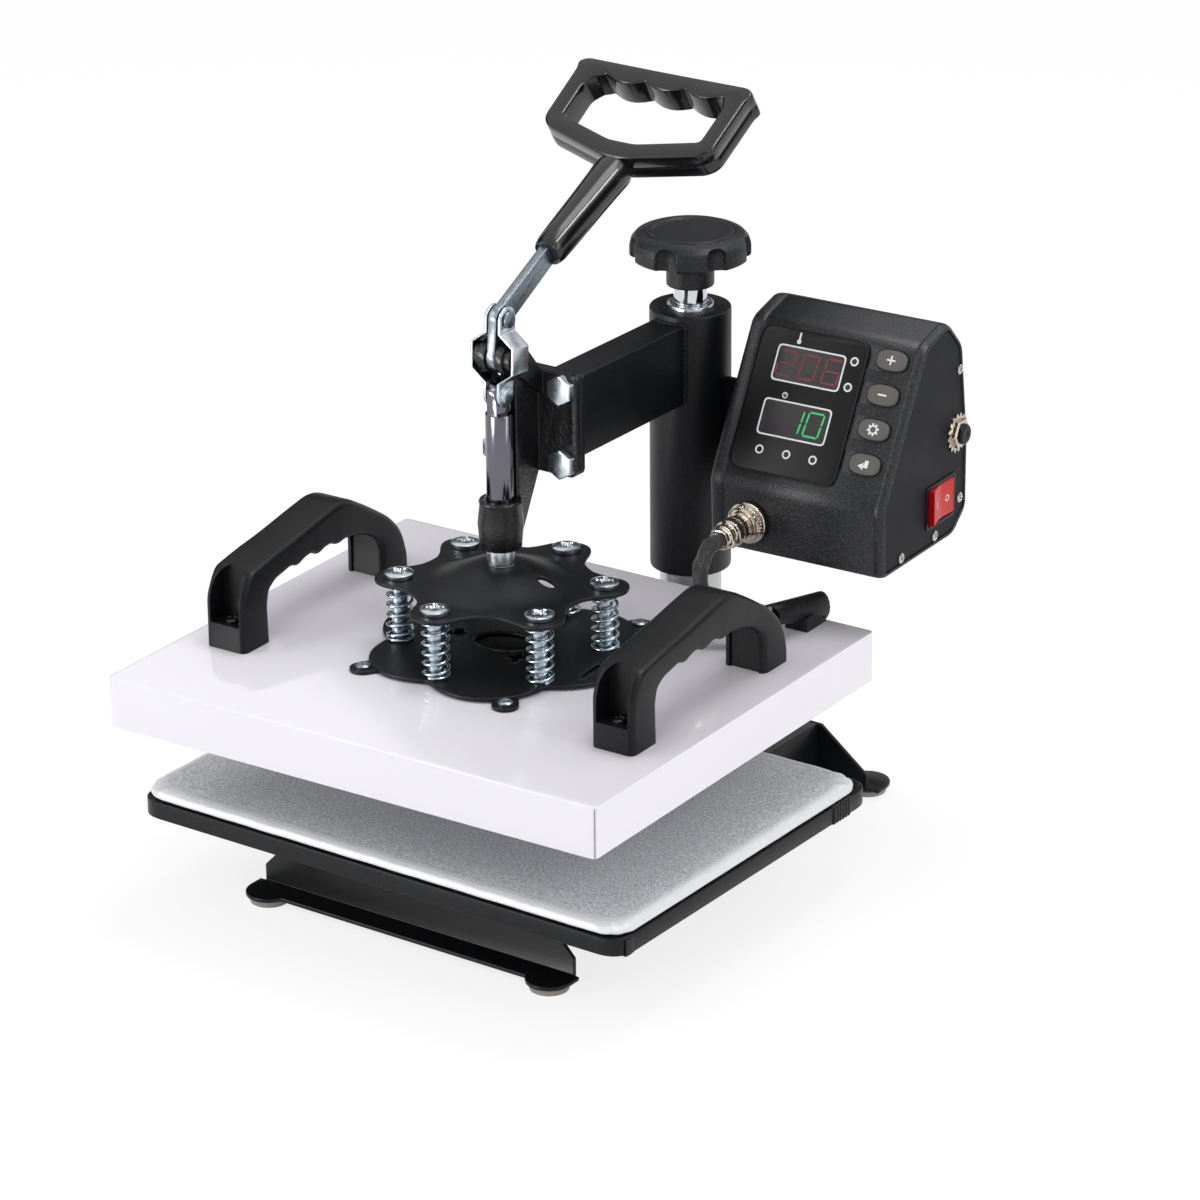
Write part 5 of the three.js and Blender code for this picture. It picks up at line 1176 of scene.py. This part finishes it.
printed("overlay_lip", box_outline(-46.6, 20.6, 7.4, 88.6, 8.0, 160), box_outline(-45.7, 19.7, 8.3, 87.7, 7.2, 160),
        foot=0.05, rise=FILM_TOP + 0.45, material=film)
WINDOW_LEFT, WINDOW_RIGHT, WINDOW_HEIGHT, FRAME_WIDTH = -33.9, 8.3, 20.4, 0.9
for name, foot in (("upper", 58.4), ("lower", 28.2)):
    top = foot + WINDOW_HEIGHT
    printed(f"window_{name}", box_outline(WINDOW_LEFT + 0.5, WINDOW_RIGHT - 0.5, foot + 0.5, top - 0.5, 2.0),
            rise=0.08, material=smoke)
    printed(f"frame_{name}", box_outline(WINDOW_LEFT, WINDOW_RIGHT, foot, top, 2.6),
            box_outline(WINDOW_LEFT + FRAME_WIDTH, WINDOW_RIGHT - FRAME_WIDTH, foot + FRAME_WIDTH,
                        top - FRAME_WIDTH, 1.9))

# %% [markdown]
# The numbers are seven-segment digits. A segment is a slanted bar with pointed ends, and each digit lists the
# segments that shine, lettered a to g round the digit from its top.

# %% Digits and lamps
SEGMENTS = {"0": "abcdef", "1": "bc", "2": "abged", "6": "afgedc"}
STROKES = {"a": ((0, 1), (1, 1)), "b": ((1, 1), (1, 0.5)), "c": ((1, 0.5), (1, 0)), "d": ((0, 0), (1, 0)),
           "e": ((0, 0.5), (0, 0)), "f": ((0, 1), (0, 0.5)), "g": ((0, 0.5), (1, 0.5))}
SLANT, STROKE = 0.1, 1.0


def digits(name, text, left, foot, width, height, pitch_x, material):
    """Bars with pointed ends for each segment of each digit, slanted by a tenth of their height."""
    vertices, faces = [], []
    for k, digit in enumerate(text):
        for segment in SEGMENTS[digit]:
            a, b = (np.array(end) * [width, height] for end in STROKES[segment])
            along = (b - a) / np.linalg.norm(b - a)
            side, tip = np.array([-along[1], along[0]]) * STROKE / 2, along * STROKE / 2
            a, b = a + tip / 2, b - tip / 2
            shape = np.array([a, a + tip + side, b - tip + side, b, b - tip - side, a + tip - side])
            shape[:, 0] += shape[:, 1] * SLANT + left + k * pitch_x
            shape[:, 1] += foot
            start = len(vertices)
            for z in (FILM_TOP + 0.05, FILM_TOP + 0.14):
                vertices.extend([x, y, z] for x, y in shape)
            faces.append([start + n for n in range(6)])
            faces.append([start + 6 + n for n in range(6)])
            faces.extend([start + n, start + (n + 1) % 6, start + 6 + (n + 1) % 6, start + 6 + n] for n in range(6))
    return make_piece(name, on_face(np.array(vertices)), faces, material, "head", sharp=30)


digits("temperature_digits", "206", -32.0, 61.9, 9.2, 13.4, 14.2, red_light)
digits("seconds_digits", "10", -18.6, 31.8, 9.3, 13.2, 12.4, green_light)
LAMPS = [(13.3, 76.6), (13.3, 62.3), (-29.1, 20), (-12.4, 20), (4, 20)]
for k, (u, d) in enumerate(LAMPS):
    printed(f"lamp_ring_{k + 1}", oval(u, d, 2.5, 2.5), oval(u, d, 1.6, 1.6))
    printed(f"lamp_{k + 1}", oval(u, d, 1.5, 1.5), rise=0.1, material=smoke)
ICON_X = -22.4
printed("sign_thermometer", oval(ICON_X, 81.4, 1.3, 1.3), rise=0.12)
printed("sign_thermometer_stem", bar(ICON_X, 81.6, ICON_X, 86.4, 1.1), rise=0.13)
printed("sign_clock", oval(ICON_X, 51.4, 1.7, 1.7), oval(ICON_X, 51.4, 1.15, 1.15), rise=0.12)
printed("sign_clock_hand", bar(ICON_X, 51.4, ICON_X, 52.4, 0.4), rise=0.13)
print("lamps on the film:", len(LAMPS))

# %% [markdown]
# The buttons are grey silicone ovals with rolled rims, each with a printed sign, and stand in a thin black ring.
# Their rows climb the side and roll over to a slightly sunk middle. The signs are drawn round the button's middle.

# %% Buttons
BUTTON_HALF_X, BUTTON_HALF_Y = 9.2, 5.7
BUTTON_ROWS = [(0, 0.2), (0, 1.3), (0.15, 1.8), (0.5, 2.2), (1.0, 2.38), (1.5, 2.3), (2.2, 2.15), (4.5, 2.1),
               (5.3, 2.1)]


def button_grid(u, d):
    """Rows of (inset, height): side, rolled rim and sunk middle of a button. Columns: round a squarish oval."""
    return on_face(np.array([np.column_stack([squarish(u, d, BUTTON_HALF_X - inset, BUTTON_HALF_Y - inset),
                                              np.full(72, z)]) for inset, z in BUTTON_ROWS]))


for node, d in BUTTONS.items():
    cap = surface(f"cap_{node}", button_grid(BUTTON_X, d), button_rubber, node, sharp=0)
    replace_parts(cap, node)
    printed(f"rim_{node}", squarish(BUTTON_X, d, 10.1, 6.6), squarish(BUTTON_X, d, 9.45, 5.95), foot=0.02, rise=0.33,
            material=satin_nylon)
gear_a = np.linspace(0, 2 * math.pi, 96, endpoint=False)
gear_r = 3.0 + 0.55 * np.clip(np.sin(8 * gear_a) * 3, -1, 1)
gear = np.stack([gear_r * np.cos(gear_a), gear_r * np.sin(gear_a)], -1)
arrow_tail = [[-0.2, -1.9], [2.6, -1.9], [2.6, 2.2], [0.4, 2.2], [0.4, 0.9]]
SIGNS = [("sign_plus_level", "button_plus", bar(-2.6, 0, 2.6, 0, 0.9), None, 0.22),
         ("sign_plus_upright", "button_plus", bar(0, -2.6, 0, 2.6, 0.9), None, 0.23),
         ("sign_minus", "button_minus", bar(-2.6, 0, 2.6, 0, 1.0), None, 0.22),
         ("sign_gear", "button_set", gear, oval(0, 0, 1.7, 1.7, count=96), 0.22),
         ("sign_arrow_head", "button_confirm", [[-3.4, -1.2], [-0.2, -3.2], [-0.2, 0.8]], None, 0.22),
         ("sign_arrow_tail", "button_confirm", arrow_tail, None, 0.23)]
for name, node, outline, inner, rise in SIGNS:
    middle = np.array([BUTTON_X, BUTTONS[node]])
    printed(name, middle + outline, None if inner is None else middle + inner, foot=2.1, rise=rise, body=node)
print("buttons and signs:", len(BUTTONS), len(SIGNS))

# %% [markdown]
# On the right side sits a red rocker in a black bezel. The rocker is a shallow trough: its face is a smooth curve
# between a raised front end and a pressed rear end. The bar and the circle are printed on that curve.

# %% Rocker
refined("rocker_bezel", satin_nylon, 0.7, segments=3)
ROCKER_Y, ROCKER_Z, ROCKER_HALF, SIDE = 65.5, -15.0, 13.2, 50.2
run = np.linspace(-ROCKER_HALF, ROCKER_HALF, 30)
face = 2.0 + 2.7 * np.clip(-run / ROCKER_HALF, 0, 1) ** 1.3 + 0.5 * (run / ROCKER_HALF) ** 2
section = np.concatenate([np.stack([face, run], -1), [[-3.0, 12.0], [-4.5, 6.6], [-4.5, -6.6], [-3.0, -12.0]]])
# Each row is a height and how far the section is drawn in there.
rocker_rows = [np.column_stack([SIDE + section[:, 0] - drop, ROCKER_Y + section[:, 1],
                                np.full(len(section), ROCKER_Z + z)])
               for z, drop in [(-10.0, 0.4), (-9.7, 0.12), (-9.2, 0.0), (9.2, 0.0), (9.7, 0.12), (10.0, 0.4)]]
rocker = surface("rocker_body", in_case(np.array(rocker_rows)), red_plastic, "rocker", sharp=50)
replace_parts(rocker, "rocker_switch")


def on_rocker(points):
    """Points (along the rocker, up, out of its face) on the right side of the case."""
    points = np.asarray(points, float)
    y, z, out = points[..., 0], points[..., 1], points[..., 2]
    return in_case(np.stack([SIDE + np.interp(y, run, face) + out, ROCKER_Y + y, ROCKER_Z + z], -1))


rows = [np.column_stack([oval(6.5, 0, r, r), np.full(32, z)]) for r, z in ((1.9, -0.02), (1.9, 0.1), (1.3, 0.1),
                                                                           (1.3, -0.02))]
surface("sign_off", on_rocker(np.array(rows)), white_print, "rocker", round_rows=True, sharp=30)
slab("sign_on", bar(-6.5, -2.1, -6.5, 2.1, 0.8), -0.3, 0.16, on_rocker, white_print, "rocker")
print("rocker rise at its front end in mm:", round(float(face[0]), 2))

# %% [markdown]
# The fuse holder is a serrated washer under a hexagon nut, with a black cap. The washer's rim is a clipped sine, and
# the nut and the cap are profiles turned about the holder's axis, the nut with six sides.

# %% Fuse holder
FUSE_PLACE, TEETH = np.array([SIDE, 83.0, 19.2]), 16
teeth = np.linspace(0, 2 * math.pi, 12 * TEETH, endpoint=False)
washer_r = 10.3 + 0.8 * np.clip(np.sin(TEETH * teeth) * 3, -1, 1)
washer = np.stack([np.stack([np.full(len(teeth), x), r * np.cos(teeth), r * np.sin(teeth)], -1)
                   for x, r in ((1.25, washer_r), (2.2, washer_r), (2.5, 8.2), (2.5, 4.0))])
washer_piece = surface("fuse_washer", in_case(washer + FUSE_PLACE), nickel, "head", sharp=30)
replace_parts(washer_piece, "fuse_holder")
nut = lathe(soften([[0.1, 2.3], [8.6, 2.3], [8.6, 4.6], [7.7, 5.4], [0.1, 5.4]], 0.3, closed=False), 6, "x")
surface("fuse_nut", in_case(nut + FUSE_PLACE), nickel, "head", sharp=30)
cap_profile = soften([[0.1, 5.2], [5.8, 5.2], [5.8, 6.6], [5.0, 7.6], [2.2, 7.6], [2.0, 7.1], [0.1, 7.1]], 0.4,
                     closed=False)
surface("fuse_cap", in_case(lathe(cap_profile, 48, "x") + FUSE_PLACE), satin_nylon, "head", sharp=40)
print("washer teeth:", TEETH)

# %% [markdown]
# The round connector has a flange nut, a knurled ring and a clamp. It is turned nickel, so each half is a profile
# turned about the front-to-back axis. The knurl is a square wave in its radius, 32 ribs round.

# %% Connector and gland
SOCKET_PLACE = np.array([-30.5, 0, -21.5])
knurl_wave = np.sign(np.sin(np.arange(192) * 2 * math.pi / 6))


def turned_half(name, profile, round_off, knurl_rear, knurl_front, knurl_share, node):
    """One half of the connector: a profile of (radius, place) with a knurl between two places."""
    profile = resample(soften(profile, round_off, closed=False), 90, closed=False)
    grid = lathe(profile, 192, "y")
    in_knurl = (profile[:, 1] > knurl_front) & (profile[:, 1] < knurl_rear)
    grid[..., [0, 2]] *= (1 + knurl_share * knurl_wave * in_knurl[:, None])[..., None]
    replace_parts(surface(name, in_case(grid + SOCKET_PLACE), nickel, "head", sharp=35), node)


turned_half("socket_body", [[0.1, -0.3], [11.8, -0.3], [11.8, -2.4], [11.2, -3.0], [10.6, -3.0], [10.6, -3.6],
                            [9.8, -3.9], [9.8, -6.4], [9.0, -7.0], [8.2, -7.1], [8.2, -9.0], [6.9, -9.4],
                            [6.9, -12.0], [7.6, -12.4], [7.6, -15.6], [0.1, -15.9]],
            0.35, -4.0, -6.3, 0.02, "panel_socket")
turned_half("plug_body", [[0.1, -16.2], [7.6, -16.4], [8.0, -17.2], [8.0, -22.0], [7.0, -22.6], [6.4, -23.0],
                          [6.4, -25.4], [7.0, -25.8], [7.0, -28.2], [6.2, -28.8], [5.8, -29.4], [5.8, -31.4],
                          [4.9, -31.6], [0.1, -31.6]],
            0.4, -17.2, -21.8, 0.018, "cable_plug")
refined("mains_gland", satin_nylon, 0.5)

# %% [markdown]
# ## Studio
# A pale floor and a white surround. To the camera and in reflections both are white, and the floor keeps the
# shadow of the press. As a light on the press they are dimmer, so that pale enamel doesn't clip.

# %% Floor
def seen_directly(tree):
    """1 for rays from the camera, off a mirror or through glass, 0 for rays that only bring light to a surface."""
    ray = add(tree, "ShaderNodeLightPath")
    either = ray.outputs["Is Camera Ray"]
    for kind in ("Is Glossy Ray", "Is Transmission Ray"):
        either = add(tree, "ShaderNodeMath", None, {0: either, 1: ray.outputs[kind]}, operation="MAXIMUM").outputs[0]
    return either


floor_material, tree, out = empty_material("studio_floor")
plain = add(tree, "ShaderNodeBsdfDiffuse", {"Color": linear("#ffffff")})
thin_shadow = add(tree, "ShaderNodeBsdfDiffuse", {"Color": linear("#8c8c8c")})
glow = add(tree, "ShaderNodeEmission", {"Color": (1, 1, 1, 1), "Strength": 0.8})
pale = add(tree, "ShaderNodeAddShader", None, {0: thin_shadow.outputs[0], 1: glow.outputs[0]})
shown = add(tree, "ShaderNodeMixShader", None, {0: seen_directly(tree), 1: plain.outputs[0], 2: pale.outputs[0]})
tree.links.new(shown.outputs[0], out.inputs["Surface"])
floor_mesh = bpy.data.meshes.new("studio_floor")
floor_mesh.from_pydata([(-6, -6, -0.0002), (6, -6, -0.0002), (6, 6, -0.0002), (-6, 6, -0.0002)], [], [(0, 1, 2, 3)])
floor_mesh.materials.append(floor_material)
floor = bpy.data.objects.new("studio_floor", floor_mesh)
bpy.context.scene.collection.objects.link(floor)
print("floor width in metres:", floor.dimensions.x)

# %% [markdown]
# The surround is a world colour. Its strength is 1 where it is seen and 0.6 where it only gives light.

# %% World
world = bpy.data.worlds.new("studio_world")
bpy.context.scene.world = world
world.use_nodes = True
tree = world.node_tree
tree.nodes.clear()
out = add(tree, "ShaderNodeOutputWorld")
strength = add(tree, "ShaderNodeMapRange", {"To Min": 0.6, "To Max": 1.0}, {"Value": seen_directly(tree)})
sky = add(tree, "ShaderNodeBackground", {"Color": (1, 1, 1, 1)}, {"Strength": strength.outputs[0]})
tree.links.new(sky.outputs[0], out.inputs["Surface"])
print("world nodes:", len(tree.nodes))

# %% [markdown]
# Large soft lamps light the press at a plain level. Two narrow ones give only reflections: one along the front and
# one for the streak on the grip's neck. Dark cards that only reflections see stand beside the camera and behind the
# press, as a photographer puts them, so that chrome and black paint keep their contrast.

# %% Lamps and cards
PRESS_MIDDLE = np.array([0.0, 0.0, 0.2])


def aimed(name, data, place):
    """An object at a place, with its -Z axis towards the middle of the press."""
    made = bpy.data.objects.new(name, data)
    bpy.context.scene.collection.objects.link(made)
    forward = PRESS_MIDDLE - np.array(place)
    forward /= np.linalg.norm(forward)
    side = np.cross(forward, [0, 0, 1])
    side /= np.linalg.norm(side)
    up = np.cross(side, forward)
    matrix = np.identity(4)
    matrix[:3, 0], matrix[:3, 1], matrix[:3, 2], matrix[:3, 3] = side, up, -forward, place
    made.matrix_world = Matrix(matrix)
    return made


def lamp(name, place, width, height, power, diffuse=True):
    """A rectangular soft lamp aimed at the press. Without diffuse only shiny surfaces show it."""
    data = bpy.data.lights.new(name, "AREA")
    data.shape = "RECTANGLE"
    data.size, data.size_y, data.energy = width, height, power
    aimed(name, data, place).visible_diffuse = diffuse


lamp("key_lamp", (-1.2, -1.3, 1.5), 0.7, 0.9, 6.0)
lamp("right_strip", (1.6, 0.0, 0.9), 0.3, 1.2, 3.5)
lamp("top_lamp", (0.1, 0.3, 1.8), 0.9, 0.6, 7.4)
lamp("front_strip", (-1.0, -1.9, 0.36), 0.45, 0.8, 5.5)
lamp("right_key", (1.9, -1.5, 1.7), 0.6, 0.6, 6.0)
lamp("shine_strip", (-0.95, -1.75, 0.3), 0.9, 0.35, 16.0, diffuse=False)
lamp("neck_shine", (0.7, 0.17, 1.42), 0.7, 0.14, 8.0, diffuse=False)

card_material = bpy.data.materials.new("dark_card")
card_material.use_nodes = True
card_material.node_tree.nodes["Principled BSDF"].inputs["Base Color"].default_value = linear("#141414")
card_material.node_tree.nodes["Principled BSDF"].inputs["Roughness"].default_value = 1.0


def card(name, place, width, height):
    """A dark card that only reflections see."""
    mesh = bpy.data.meshes.new(name)
    w, h = width / 2, height / 2
    mesh.from_pydata([(-w, -h, 0), (w, -h, 0), (w, h, 0), (-w, h, 0)], [], [(0, 1, 2, 3)])
    mesh.materials.append(card_material)
    made = aimed(name, mesh, place)
    made.visible_camera = False
    made.visible_diffuse = False
    made.visible_shadow = False
    made.visible_transmission = False


card("card_behind_camera", (1.9, -2.6, 1.5), 2.6, 2.2)
card("card_behind_press", (-1.7, 2.4, 1.2), 3.0, 1.6)
card("card_left", (-2.2, 0.1, 0.9), 1.2, 2.4)
card("card_right", (2.1, 1.2, 0.8), 1.0, 2.2)
print("lamps:", len(bpy.data.lights))

# This view setting shows the colours as they are written.
bpy.context.scene.view_settings.view_transform = "Standard"
